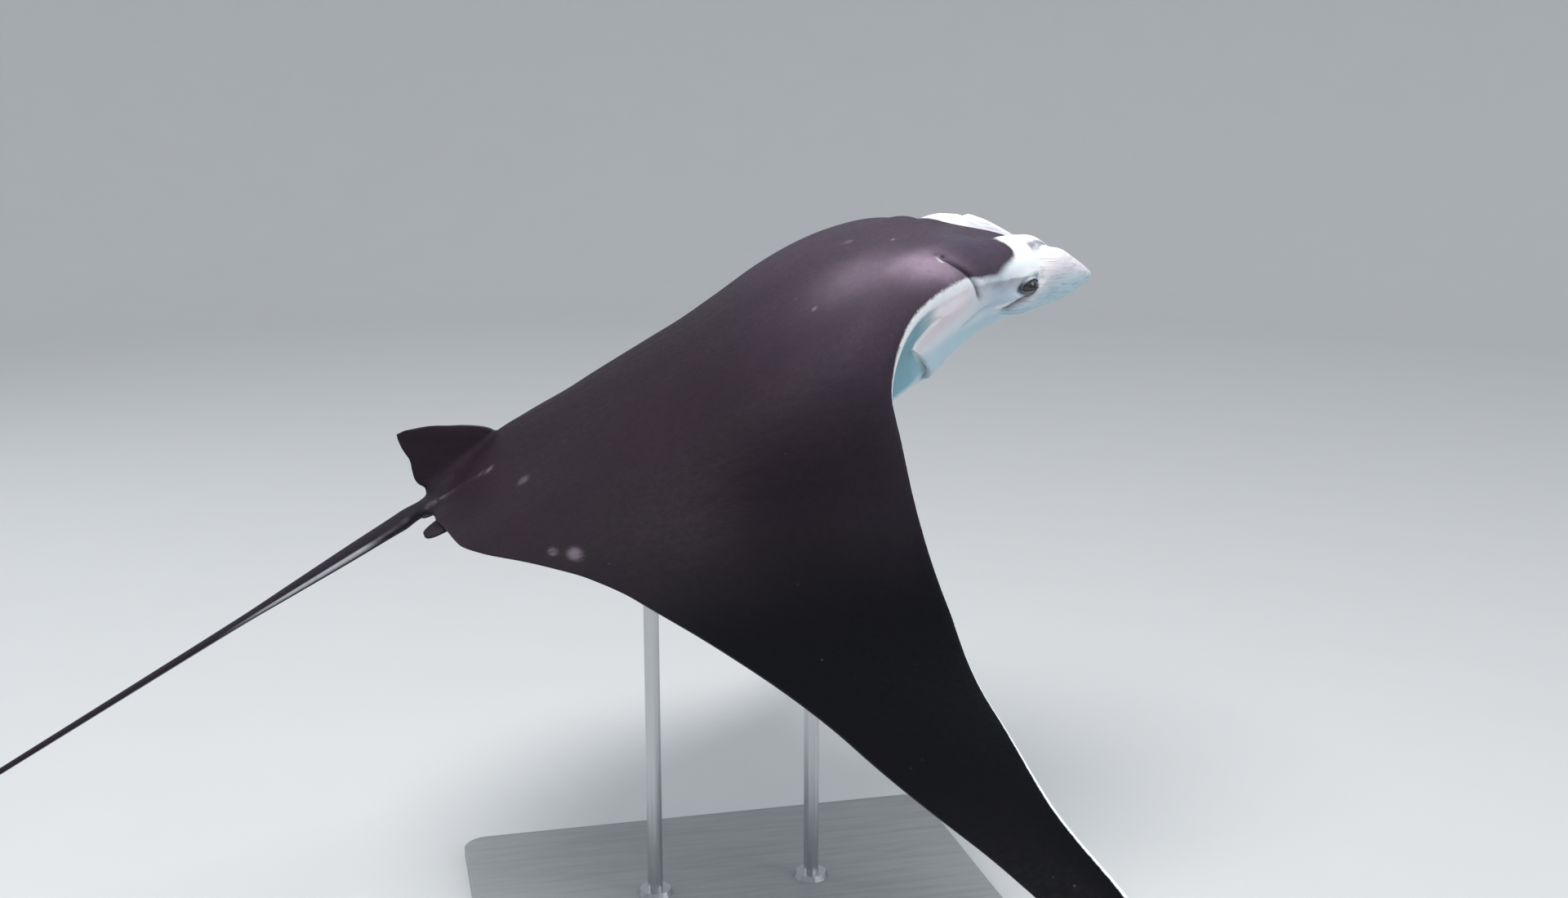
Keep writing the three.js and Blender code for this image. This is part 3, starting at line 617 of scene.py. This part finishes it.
# --- the eye's socket and lids ---
OPEN_LONG, OPEN_SHORT = .0225, .0108
lid = np.zeros(body.count)
for name, centre in EYES.items():
    side = 1 if name == "left" else -1
    gaze, long, short = eye_axes(side)
    normal = body.normals()
    r = body.co - centre
    a, u, v = r @ gaze, r @ long, r @ short
    reach = np.hypot(u, v)
    rho = np.hypot(u / OPEN_LONG, v / (OPEN_SHORT * np.where(v > 0, 1, 1.1)))
    mine = (reach < .06) & (a > -.012) & (normal @ gaze > .05) & (rho < 3)
    ball = np.sqrt(np.maximum(EYE_RADIUS ** 2 - np.minimum(reach, EYE_RADIUS * .97) ** 2, 0))
    brow = .0032 * np.exp(-((rho - 1.3) / .3) ** 2) * np.where(v > 0, 1.3, .7)
    rim = ball + .0009 + brow
    blend = step(1.15, 2.3, rho)
    outside = rim * (1 - blend) + a * blend
    wrinkle = .0007 * np.sin(rho * 17) * np.exp(-((rho - 1.75) / .35) ** 2)
    inside = ball - .006
    k = step(.93, 1.04, rho)
    target = inside * (1 - k) + outside * k + wrinkle
    body.co[mine] += gaze * (target - a)[mine][:, None]
    lid[mine] = np.maximum(lid[mine], np.exp(-((rho[mine] - 1.0) / .22) ** 2))
    soften = np.where(mine, np.exp(-((rho - 1.9) / .5) ** 2), 0)
    soften[rho < 1.3] = 0
    body.relax(soften, 6)

body.store()

# --- the markings, as smooth fields and colours on the points ---
x, s, side = body.flat[:, 0], far, body.flat[:, 2]
is_body, is_tail, is_dorsal = body.kind == BODY, body.kind == TAIL, body.kind == DORSAL_FIN
is_mouth = body.kind == MOUTH
top, belly = is_body * (side > 0), is_body * (side < 0)
edge_off = np.where(is_body, front_distance(x, s), 0) * SIZE
rear_off = np.where(is_body, np.maximum(x - smooth(REAR_EDGE, s), 0), 0) * SIZE
# how far forward the dark back reaches, at each distance out
DARK_FRONT = [(0, -.003), (.03, -.005), (.05, -.011), (.062, -.019), (.07, -.025), (.0755, -.0285),
              (.0802, -.028), (.0836, -.0252), (.0864, -.0238), (.0885, -.0248), (.0905, -.0275),
              (.0932, -.0328), (.0959, -.0388), (.0977, -.0445), (.099, -.0502), (.1001, -.0558),
              (.1015, -.0615), (.103, -.067), (.11, -.072), (.12, -.072)]
neck = 1 - step(.0985, .1015, s)
rim_width = (.003 + .005 * step(.13, .2, s)) * (1 - neck) + .001 * neck
blur = .0018 + .01 * bell(s, .0935, .005) + .01 * bell(s, .075, .008)
dark_here = np.where(s < .107, (smooth(DARK_FRONT, s) - x) * SIZE / blur, FAR_OFF)
dark_here = np.minimum(dark_here, (edge_off - rim_width) / .0018)
under = -edge_off - rim_width
tail_margin = (.012 + .05 * step(.1, .2, s) + .04 * step(.36, .5, s)) - rear_off
under = np.maximum(under, np.minimum(tail_margin, FAR_OFF))
blur = np.where((side > 0) | (s < .1), blur, .005)
dark = np.where(side > 0, dark_here, under / blur)
ALL_DARK = 6
dark = np.where((body.kind == HEAD_FIN) | (body.kind == MOUTH), -ALL_DARK, dark)
dark = np.where((body.kind == TAIL) | (body.kind == DORSAL_FIN), ALL_DARK, dark)
dark = np.where(body.kind == PELVIC_FIN, np.where(body.flat[:, 2] > -.3, ALL_DARK, -ALL_DARK), dark)
dark = np.clip(dark, -ALL_DARK, ALL_DARK)


def paint(base, *layers):
    """Lays colours over a base, each by its strength at each point."""
    out = np.tile(np.array(base, float), (body.count, 1))
    for strength, colour in layers:
        k = np.clip(strength, 0, 1)[:, None]
        out = out * (1 - k) + np.array(colour) * k
    return out


head_off = body.co * np.stack([np.ones(body.count), side_of, np.ones(body.count)], -1) - EYE
eye_ring = np.hypot((head_off @ HEAD_AXIS + .004) / .026, (head_off @ HEAD_UP) / .0145)
eye_patch = np.where(np.abs(head_off[:, 1]) < .05, 1 - step(.85, 1.3, eye_ring), 0)
# the painted shade in the hollow behind the first gill flap, from the flap's free edge out to the rim
FLAP_REAR = [(.05, -.0955), (.0661, -.0997), (.0797, -.1039), (.1003, -.1105)]
FLAP_TOP = [(-.1105, .1003), (-.1057, .103), (-.0966, .1056), (-.0868, .1053)]
past = np.where(s < FLAP_REAR[-1][0], smooth(FLAP_REAR, s) - x,
                np.maximum(s - smooth(FLAP_TOP, x), FLAP_TOP[0][0] - x))
rim_light = .003 + .011 * step(-.1, -.08, x)
on_flank = belly * step(.045, .06, s) * (1 - step(.13, .16, s)) * step(-.155, -.125, x)
flap_hollow_shade = on_flank * step(0, .0015, past) * (1 - step(-.1, -.09, x))
flap_hollow_shade = flap_hollow_shade * (1 - .35 * step(-.112, -.096, x))
# painted highlight: a bright thin line along the first gill flap's free edge
flap_edge_highlight = on_flank * bell(past, -.001, .0011) * (1 - step(-.092, -.086, x))
fin, around = body.kind == HEAD_FIN, body.flat[:, 2]
over_eye = bell(x, -.043, .017) * step(.084, .092, s) * np.where(side > 0, .45, .6)
# painted shade in teal on the lower flank, around the first gills
low_flank_shade = step(-.16, -.07, x) * step(.02, .045, s) * (1 - step(.075, .105, s))
by_rim = (edge_off < rim_light) * step(.099, .104, s) * (1 - step(.12, .15, s))
pale = paint((.85, .88, .90),
             (top * step(-.03, -.012, x) * (1 - step(.056, .07, s)), (.50, .50, .60)),
             (top * step(-.0815, -.079, -s) * bell(x, -.03, .025), (.95, .97, .98)),
             (belly * bell(x, -.085, .03) * step(.09, .1, s), (.78, .68, .73)),
             (is_body * over_eye, (.40, .50, .63)),
             # painted shade: the middle of the belly behind the mouth is tinted a cool blue-grey
             (belly * step(-.03, -.05, x) * (1 - step(.07, .095, s)) * .5, (.50, .64, .70)),
             (belly * by_rim, (.90, .84, .88)),
             # painted shade, dark teal, in the hollow behind the first gill flap
             (flap_hollow_shade * .9, (.12, .32, .39)),
             # painted highlight along the first gill flap's free edge
             (flap_edge_highlight, (.93, .97, .98)),
             # painted teal shade on the lower flank
             (belly * low_flank_shade * .6, (.36, .57, .69)),
             (belly * step(.3, .5, s) * .45, (.42, .45, .48)),
             (fin * 1.0, (.80, .76, .80)),
             # painted light and shade: the head fin is painted whiter along its top and teal along its lower
             # part
             (fin * step(.35, .8, around), (.86, .87, .91)),
             (fin * (1 - step(-.75, .35, around)) * .8, (.38, .58, .66)),
             (fin * (1 - step(-.8, -.25, body.turn)) * (1 - step(-.5, .2, around)) * .8, (.20, .21, .25)),
             (fin * step(.93, .985, body.flat[:, 0]) * .8, (.86, .88, .92)),
             # painted shade: the inside of the mouth is painted dark
             (is_mouth * 1.0, (.16, .12, .14)),
             (eye_patch * .85, (.075, .085, .13)),
             (lid * .6, (.06, .07, .10)))
# the wings darken outwards: partly their own nearly black tips, partly painted shade where they turn away
# from the light above
wing_tips_dark_and_shade = step(.08, .27, s) * is_body
keel = np.zeros(body.count)
near = np.nonzero((body.co[:, 0] < -.55) & (body.co[:, 0] > -.9))[0]
for a, b in zip(KEEL[:-1], KEEL[1:]):
    p = body.co[near] * np.stack([np.ones(len(near)), side_of[near], np.ones(len(near))], -1)
    t = np.clip((p - a) @ (b - a) / ((b - a) @ (b - a)), 0, 1)
    off = np.linalg.norm(p - a - t[:, None] * (b - a), axis=1)
    keel[near] = np.maximum(keel[near], np.exp(-(off / .0035) ** 2))
along, out, up = body.flat[:, 0], np.abs(body.flat[:, 1]), body.flat[:, 2]
# a painted highlight along the tail's side near its root, and a paler band low on its side further back
tail_highlight_and_fringe = (step(.8, .97, out) * (up < .1) * step(.15, .19, along) * (1 - step(.27, .4, along))
               + .45 * bell(up, -.75, .16) * step(.3, .42, along))
free_edge = (1 - step(.008, .03, body.flat[:, 1])) * step(.3, .5, body.flat[:, 0])
# the white notch at the spiracle
notch = top * (1 - step(.0014, .003, np.hypot(x + .0785, s - .0947)))
back = paint((.021, .0145, .021),
             # painted light: the front of the back, head and shoulders is painted a lighter purple-brown, as
             # lit from above
             (is_body * step(-.26, -.08, x) * .95, (.062, .048, .067)),
             (notch, (.80, .77, .84)),
             (is_body * (1 - step(.0, .03, np.hypot(x + .052, s - .075))) * .6, (.080, .075, .115)),
             # the wings' dark tips together with painted shade
             (wing_tips_dark_and_shade, (.0022, .0024, .0040)),
             (belly * .7, (.075, .08, .09)),
             (is_tail * .7, (.022, .020, .026)),
             (is_dorsal * .55, (.022, .016, .022)),
             (is_dorsal * free_edge * .8, (.17, .16, .20)),
             (keel, (.12, .105, .12)),
             # the painted highlight and the paler lower band on the tail
             (is_tail * tail_highlight_and_fringe * .9, (.55, .56, .60)))
# light, fading patches on the shoulders, and the lighter scars of this animal
shoulder = top * (.8 * bell(x, -.093, .02) * bell(s, .0955, .009)
                  + .75 * bell(x, -.078, .012) * bell(s, .1, .005)
                  + .35 * bell(x, -.13, .03) * bell(s, .085, .016))
# (forward, out, radius, strength)
SCARS = [(-.3717, -.1498, .0052, .38), (-.3828, -.1427, .0034, .28), (-.3817, -.0702, .0048, .22),
         (-.1678, -.0901, .0016, .6), (-.1144, -.0287, .0042, .3), (-.0925, -.0627, .0018, .6),
         (-.0508, .0084, .0018, .5), (-.262, .083, .0035, .3), (-.31, .16, .004, .3),
         (-.22, .24, .003, .3)]
scar = np.zeros(body.count)
for cx, cs, r, strength in SCARS:
    off = np.hypot(x - cx, body.flat[:, 1] - cs)
    scar = np.maximum(scar, top * strength * (1 - step(.35 * r, 1.2 * r, off)))
# the dark mark on each side of the head's front
BROW_LINE = np.array([(-.0085, .081), (-.004, .0788), (.001, .0758), (.005, .073)])
mark_off, _ = line_distance(BROW_LINE, x, s)
brow_mark = top * (1 - step(.0005, .0036, mark_off)) * .8
# spots on the belly, dark and clear-cut
chance = np.random.default_rng(7)
spot = np.full(body.count, .05)
places = [(-.2, .02, .006), (-.21, -.025, .008), (-.235, .012, .005), (-.25, -.01, .007), (-.262, .034, .005),
          (-.228, -.05, .004), (-.285, -.03, .006), (-.3, .012, .004)]
places += [(-.235 + .05 * a, .16 * b, .0025 + .003 * c) for a, b, c in
           zip(chance.uniform(-1, 1, 16), chance.uniform(-1, 1, 16), chance.uniform(0, 1, 16))]
for cx, cs, r in places:
    off = np.hypot((x - cx) * .9, body.flat[:, 1] - cs) - r
    spot = np.where(is_body & (side < 0), np.minimum(spot, off), spot)
# painted shade in the hollow behind each gill flap, weaker towards the slit's outer end
for i in range(GILLS):
    at, k = gill_line(i, s)
    slit = belly * step(-.06, .1, k) * (1 - step(.94, 1.03, k))
    shade = 1 - .6 * step(.55, .85, k)
    crease_shade = np.maximum(crease_shade, slit * shade * (1 - step(.0, .0048, at - x)) * step(-.0004, .0008, at - x) * .95)
# more painted shade inside the mouth's pocket
crease_shade = np.maximum(crease_shade, is_mouth * .35)
body.write("dark", dark)
body.write("ragged", np.clip(.0022 / blur, .12, 1))
body.write("crease_shade", np.clip(crease_shade, 0, 1))
body.write("shoulder", shoulder * (1 - notch))
body.write("scar", scar)
body.write("brow", brow_mark)
body.write("spot", spot * 100)
body.write("streak", fin * 1.0)
for name, colour in (("pale", pale), ("back", back)):
    table = np.concatenate([colour, np.ones((body.count, 1))], 1)
    skin.data.attributes.new(name, "FLOAT_COLOR", "POINT").data.foreach_set("color", table.ravel())
skin.data.polygons.foreach_set("use_smooth", np.ones(len(skin.data.polygons), dtype=bool))


# --- materials ---
class Nodes:
    """A material's node tree, written as calls."""

    def __init__(self, name, **sockets):
        self.material = bpy.data.materials.new(name)
        self.material.use_nodes = True
        self.tree = self.material.node_tree
        self.shader = self.tree.nodes["Principled BSDF"]
        for key, value in sockets.items():
            self.shader.inputs[key.replace("_", " ")].default_value = value
        self.place = self.new("ShaderNodeTexCoord").outputs["Object"]

    def new(self, kind, **settings):
        node = self.tree.nodes.new(kind)
        for key, value in settings.items():
            setattr(node, key, value)
        return node

    def put(self, socket, value):
        if isinstance(value, bpy.types.NodeSocket):
            self.tree.links.new(value, socket)
        elif hasattr(socket.default_value, "__len__") and not hasattr(value, "__len__"):
            socket.default_value = [value] * len(socket.default_value)
        elif hasattr(value, "__len__") and len(value) == 3 and len(socket.default_value) == 4:
            socket.default_value = (*value, 1)
        else:
            socket.default_value = value

    def math(self, how, a, b=0.0, c=0.0, clamp=False):
        node = self.new("ShaderNodeMath", operation=how, use_clamp=clamp)
        for socket, value in zip(node.inputs, (a, b, c)):
            self.put(socket, value)
        return node.outputs[0]

    def step(self, low, high, value):
        node = self.new("ShaderNodeMapRange", interpolation_type="SMOOTHSTEP")
        self.put(node.inputs["Value"], value)
        self.put(node.inputs["From Min"], low)
        self.put(node.inputs["From Max"], high)
        return node.outputs["Result"]

    def stretch(self, scale, turn=(0, 0, 0)):
        node = self.new("ShaderNodeMapping")
        self.put(node.inputs["Vector"], self.place)
        node.inputs["Scale"].default_value = scale
        node.inputs["Rotation"].default_value = turn
        return node.outputs[0]

    def noise(self, scale, detail=3.0, rough=.55, place=None, warp=0.0):
        node = self.new("ShaderNodeTexNoise")
        self.put(node.inputs["Vector"], place or self.place)
        for key, value in (("Scale", scale), ("Detail", detail), ("Roughness", rough), ("Distortion", warp)):
            self.put(node.inputs[key], value)
        return node.outputs["Fac"]

    def cells(self, scale, feature="F1", place=None, spread=1.0):
        node = self.new("ShaderNodeTexVoronoi", feature=feature)
        self.put(node.inputs["Vector"], place or self.place)
        self.put(node.inputs["Scale"], scale)
        self.put(node.inputs["Randomness"], spread)
        return node.outputs["Distance"]

    def field(self, name, kind="Fac"):
        return self.new("ShaderNodeAttribute", attribute_name=name).outputs[kind]

    def mix(self, amount, a, b, how="MIX"):
        node = self.new("ShaderNodeMix", data_type="RGBA", blend_type=how)
        for i, value in ((0, amount), (6, a), (7, b)):
            self.put(node.inputs[i], value)
        return node.outputs[2]

    def bump(self, height, distance, strength=1.0, over=None):
        node = self.new("ShaderNodeBump")
        node.inputs["Strength"].default_value = strength
        node.inputs["Distance"].default_value = distance
        self.put(node.inputs["Height"], height)
        if over is not None:
            self.put(node.inputs["Normal"], over)
        return node.outputs[0]

    def finish(self, colour=None, roughness=None, normal=None):
        for key, value in (("Base Color", colour), ("Roughness", roughness), ("Normal", normal)):
            if value is not None:
                self.put(self.shader.inputs[key], value)
        return self.material


def skin_material():
    n = Nodes("skin", Specular_IOR_Level=.06)
    ragged = n.math("MULTIPLY_ADD", n.noise(55, 4, .6), 2.4, -1.2)
    fine = n.math("MULTIPLY_ADD", n.noise(240, 2), 1.2, -.6)
    ragged = n.math("MULTIPLY", n.math("ADD", ragged, fine), n.field("ragged"))
    dark = n.step(-1, 1, n.math("ADD", n.field("dark"), ragged))
    cloud = n.step(.3, .75, n.noise(5.5, 5, .62))
    grain = n.step(.25, .8, n.noise(85, 4, .7))
    back = n.mix(n.math("MULTIPLY", cloud, .5), n.field("back", "Color"), (1.4, 1.2, 1.25), "MULTIPLY")
    back = n.mix(n.math("MULTIPLY", grain, .35), back, (.55, .55, .6), "MULTIPLY")
    broken = n.math("MULTIPLY_ADD", n.noise(34, 5, .65, warp=.6), .9, .55)
    shoulder = n.math("MULTIPLY", n.field("shoulder"), broken, clamp=True)
    back = n.mix(n.math("MULTIPLY", shoulder, .7), back, (.36, .27, .36))
    flecks = n.math("MULTIPLY", n.step(.085, .04, n.cells(26)), n.step(.56, .7, n.noise(3.3, 2)))
    back = n.mix(n.math("MULTIPLY", flecks, .28), back, (.22, .19, .22))
    back = n.mix(n.math("MULTIPLY", n.field("scar"), n.step(.1, .5, n.noise(70, 3))), back, (.26, .22, .27))
    pale = n.mix(n.math("MULTIPLY", n.step(.35, .8, n.noise(13, 5, .6)), .22), n.field("pale", "Color"),
                 (.72, .76, .82), "MULTIPLY")
    long_way = n.stretch((9, 60, 150), (0, math.radians(NOSE_UP + 8), 0))
    streak = n.step(.48, .72, n.noise(1.2, 4, .6, long_way, .4))
    pale = n.mix(n.math("MULTIPLY", n.math("MULTIPLY", n.field("streak"), streak), .5), pale, (.50, .52, .62),
                 "MULTIPLY")
    pale = n.mix(n.math("MULTIPLY", n.field("brow"), n.step(.1, .5, n.noise(60, 4))), pale, (.13, .11, .19))
    spot = n.step(.05, -.05, n.math("ADD", n.field("spot"), n.math("MULTIPLY_ADD", n.noise(70, 3), .5, -.25)))
    pale = n.mix(n.math("MULTIPLY", spot, .9), pale, (.035, .035, .04))
    colour = n.mix(dark, pale, back)
    # painted shade: the colour is darkened in the creases, the gill hollows and the mouth
    colour = n.mix(n.math("MULTIPLY", n.field("crease_shade"), .85), colour, (.10, .13, .17), "MULTIPLY")
    rough = n.math("MULTIPLY_ADD", grain, .16, .45)
    skin_grain = n.noise(420, 3, .6)
    pores = n.cells(330, "DISTANCE_TO_EDGE")
    folds = n.noise(1.0, 4, .55, n.stretch((14, 46, 30)), .35)
    normal = n.bump(folds, .004, .55)
    normal = n.bump(skin_grain, .0007, .55, normal)
    normal = n.bump(pores, .0006, .35, normal)
    normal = n.bump(n.math("MULTIPLY", n.field("streak"), streak), .0015, .6, normal)
    return n.finish(colour, rough, normal)


def eye_material():
    n = Nodes("eye", Roughness=.08, Specular_IOR_Level=.5, Coat_Weight=.5, Coat_Roughness=.03)
    parts = n.new("ShaderNodeSeparateXYZ")
    n.put(parts.inputs[0], n.field("eye_place", "Vector"))
    u, v = parts.outputs[0], parts.outputs[1]
    r = n.math("SQRT", n.math("ADD", n.math("MULTIPLY", u, u), n.math("MULTIPLY", v, v)))
    angle = n.math("ARCTAN2", v, u)
    spin = n.new("ShaderNodeCombineXYZ")
    n.put(spin.inputs[0], n.math("MULTIPLY", n.math("SINE", angle), 5.5))
    n.put(spin.inputs[1], n.math("MULTIPLY", n.math("COSINE", angle), 5.5))
    n.put(spin.inputs[2], n.math("MULTIPLY", r, 1.2))
    rays = n.noise(3.2, 4, .6, spin.outputs[0], .3)
    iris = n.mix(n.step(.3, .7, rays), (.009, .009, .011), (.032, .029, .030))
    iris = n.mix(n.math("MULTIPLY", n.step(.34, .26, r), .6), iris, (.045, .038, .030))
    white = n.mix(n.step(.35, .7, n.noise(160, 4)), (.03, .033, .042), (.06, .065, .08))
    colour = n.mix(n.step(.60, .66, r), iris, (.010, .010, .012))
    colour = n.mix(n.step(.70, .80, r), colour, white)
    tall = n.math("DIVIDE", n.math("ADD", v, -.03), .19)
    wide = n.math("DIVIDE", u, .36)
    pupil = n.math("SQRT", n.math("ADD", n.math("MULTIPLY", tall, tall), n.math("MULTIPLY", wide, wide)))
    colour = n.mix(n.step(1.06, .94, pupil), colour, (.002, .002, .003))
    return n.finish(colour, None, n.bump(rays, .0003, .3))


def board_material():
    n = Nodes("board", Specular_IOR_Level=.4)
    grain = n.noise(1.0, 5, .6, n.stretch((4, 60, 60)), .8)
    speck = n.noise(520, 2)
    colour = n.mix(n.step(.35, .75, grain), (.30, .31, .32), (.25, .26, .27))
    colour = n.mix(n.math("MULTIPLY", n.step(.60, .75, speck), .25), colour, (.38, .39, .40))
    rough = n.math("MULTIPLY_ADD", n.noise(14, 4), .2, .38)
    return n.finish(colour, rough, n.bump(grain, .0006, .5, n.bump(speck, .0002, .4)))


def steel_material():
    n = Nodes("steel", Metallic=1.0)
    brushed = n.noise(1.0, 4, .7, n.stretch((260, 260, 9)))
    colour = n.mix(brushed, (.42, .43, .45), (.62, .63, .65))
    rough = n.math("MULTIPLY_ADD", brushed, .2, .22)
    return n.finish(colour, rough, n.bump(brushed, .0002, .5))


def give(piece, material):
    for i in range(max(1, len(piece.material_slots))):
        if piece.material_slots:
            piece.material_slots[i].material = material
        else:
            piece.data.materials.append(material)


SKIN, EYEBALL, BOARD, STEEL = skin_material(), eye_material(), board_material(), steel_material()
skin.data.materials.clear()
skin.data.polygons.foreach_set("material_index", np.zeros(len(skin.data.polygons), dtype=np.int32))
skin.data.materials.append(SKIN)
skin.data.update()
FLESH = ["head", "trunk", "wing_left", "wing_right", "dorsal_fin", "tail_base", "tail_middle", "tail_tip",
         "head_fin_left", "head_fin_right", "pelvic_fin_left", "pelvic_fin_right"]
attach(skin, "root")
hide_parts(*FLESH)

# --- the eyes ---
for name, centre in EYES.items():
    gaze, long, short = eye_axes(1 if name == "left" else -1)
    a = np.linspace(0, np.pi, 72)[:, None]
    turn = ring_angles(96)[None]
    across = np.sin(a)
    cornea = .0014 * (1 - step(.25, .75, across)) * (np.cos(a) > 0)
    radius = EYE_RADIUS - .0004 + cornea - .0014
    local = np.stack([radius * across * np.cos(turn), radius * across * np.sin(turn),
                      radius * np.cos(a) + 0 * turn], -1)
    rings = centre + local[..., :1] * long + local[..., 1:2] * short + local[..., 2:] * gaze
    ball = loft("eyeball_" + name, rings[1:-1])
    table = np.zeros((len(ball.data.vertices), 3))
    flat = (local[1:-1] / EYE_RADIUS * np.where(local[1:-1, :, 2:] > 0, 1, 9)).reshape(-1, 3)
    table[:len(flat)] = flat
    table[-1] = (9, 9, 9)
    ball.data.attributes.new("eye_place", "FLOAT_VECTOR", "POINT").data.foreach_set("vector", table.ravel())
    ball.data.polygons.foreach_set("use_smooth", np.ones(len(ball.data.polygons), dtype=bool))
    ball.data.materials.append(EYEBALL)
    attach(ball, "root")
    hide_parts("eye_" + name)

# --- the stand ---
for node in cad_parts:
    piece = bpy.data.objects.get(node)
    if node == "stand_base":
        give(piece, BOARD)
    elif node.startswith("stand_rod"):
        give(piece, STEEL)

# --- floor, light and camera ---
FLAT, CURVE, WALL = 11.0, 6.0, 9.0  # a round floor that curves up into a wall, in metres
ROUND = 160
turn = ring_angles(ROUND)
profile = [(r, 0) for r in (.01, 1, 3, 6, 9, FLAT)]
profile += [(FLAT + CURVE * math.sin(a), CURVE * (1 - math.cos(a)))
            for a in np.linspace(.05, math.pi / 2, 30)]
profile += [(FLAT + CURVE, WALL)]
points = [(r * math.cos(a), r * math.sin(a), z) for r, z in profile for a in turn]
faces = [(i * ROUND + j, i * ROUND + (j + 1) % ROUND, (i + 1) * ROUND + (j + 1) % ROUND, (i + 1) * ROUND + j)
         for i in range(len(profile) - 1) for j in range(ROUND)]
floor = mesh_object("floor", points, faces + [tuple(range(ROUND - 1, -1, -1))])
floor.data.polygons.foreach_set("use_smooth", np.ones(len(floor.data.polygons), dtype=bool))
paper = Nodes("floor_paper", Specular_IOR_Level=.2)
paper.finish(paper.mix(paper.noise(2.5, 3), (.60, .61, .62), (.62, .63, .64)), .85)
floor.data.materials.append(paper.material)


def lamp(name, place, target, size, watts, colour=(1, 1, 1)):
    data = bpy.data.lights.new(name, "AREA")
    data.shape, data.size, data.energy, data.color = "DISK", size, watts, colour
    made = bpy.data.objects.new(name, data)
    made.location = place
    made.rotation_mode = "QUATERNION"
    made.rotation_quaternion = (Vector(target) - Vector(place)).to_track_quat("-Z", "Y")
    bpy.context.scene.collection.objects.link(made)


lamp("key", (-1.5, -2.5, 7.5), (.1, -.2, 1.2), 4.5, 480, (1, .99, .97))
lamp("front", (6.5, -5.5, 4.5), (.4, 0, 1.4), 4, 130, (.96, .98, 1))
lamp("fill", (-6, 4, 4), (-.4, 0, 1.2), 5, 90, (.94, .97, 1))
world = bpy.data.worlds.new("studio")
world.use_nodes = True
world.node_tree.nodes["Background"].inputs["Color"].default_value = (.92, .96, 1, 1)
world.node_tree.nodes["Background"].inputs["Strength"].default_value = .7
bpy.context.scene.world = world
bpy.context.scene.view_settings.view_transform = "Standard"

CAMERA_PLACE, CAMERA_AIM, LENS = (-.891, -4.120, 2.072), (.2368, .9488, -.2092), 40.75
camera = bpy.data.objects.new("camera", bpy.data.cameras.new("camera"))
camera.data.sensor_width, camera.data.lens = 36, LENS
camera.data.clip_end = 200
camera.location = CAMERA_PLACE
camera.rotation_mode = "QUATERNION"
camera.rotation_quaternion = Vector(CAMERA_AIM).to_track_quat("-Z", "Y")
bpy.context.scene.collection.objects.link(camera)
bpy.context.scene.camera = camera
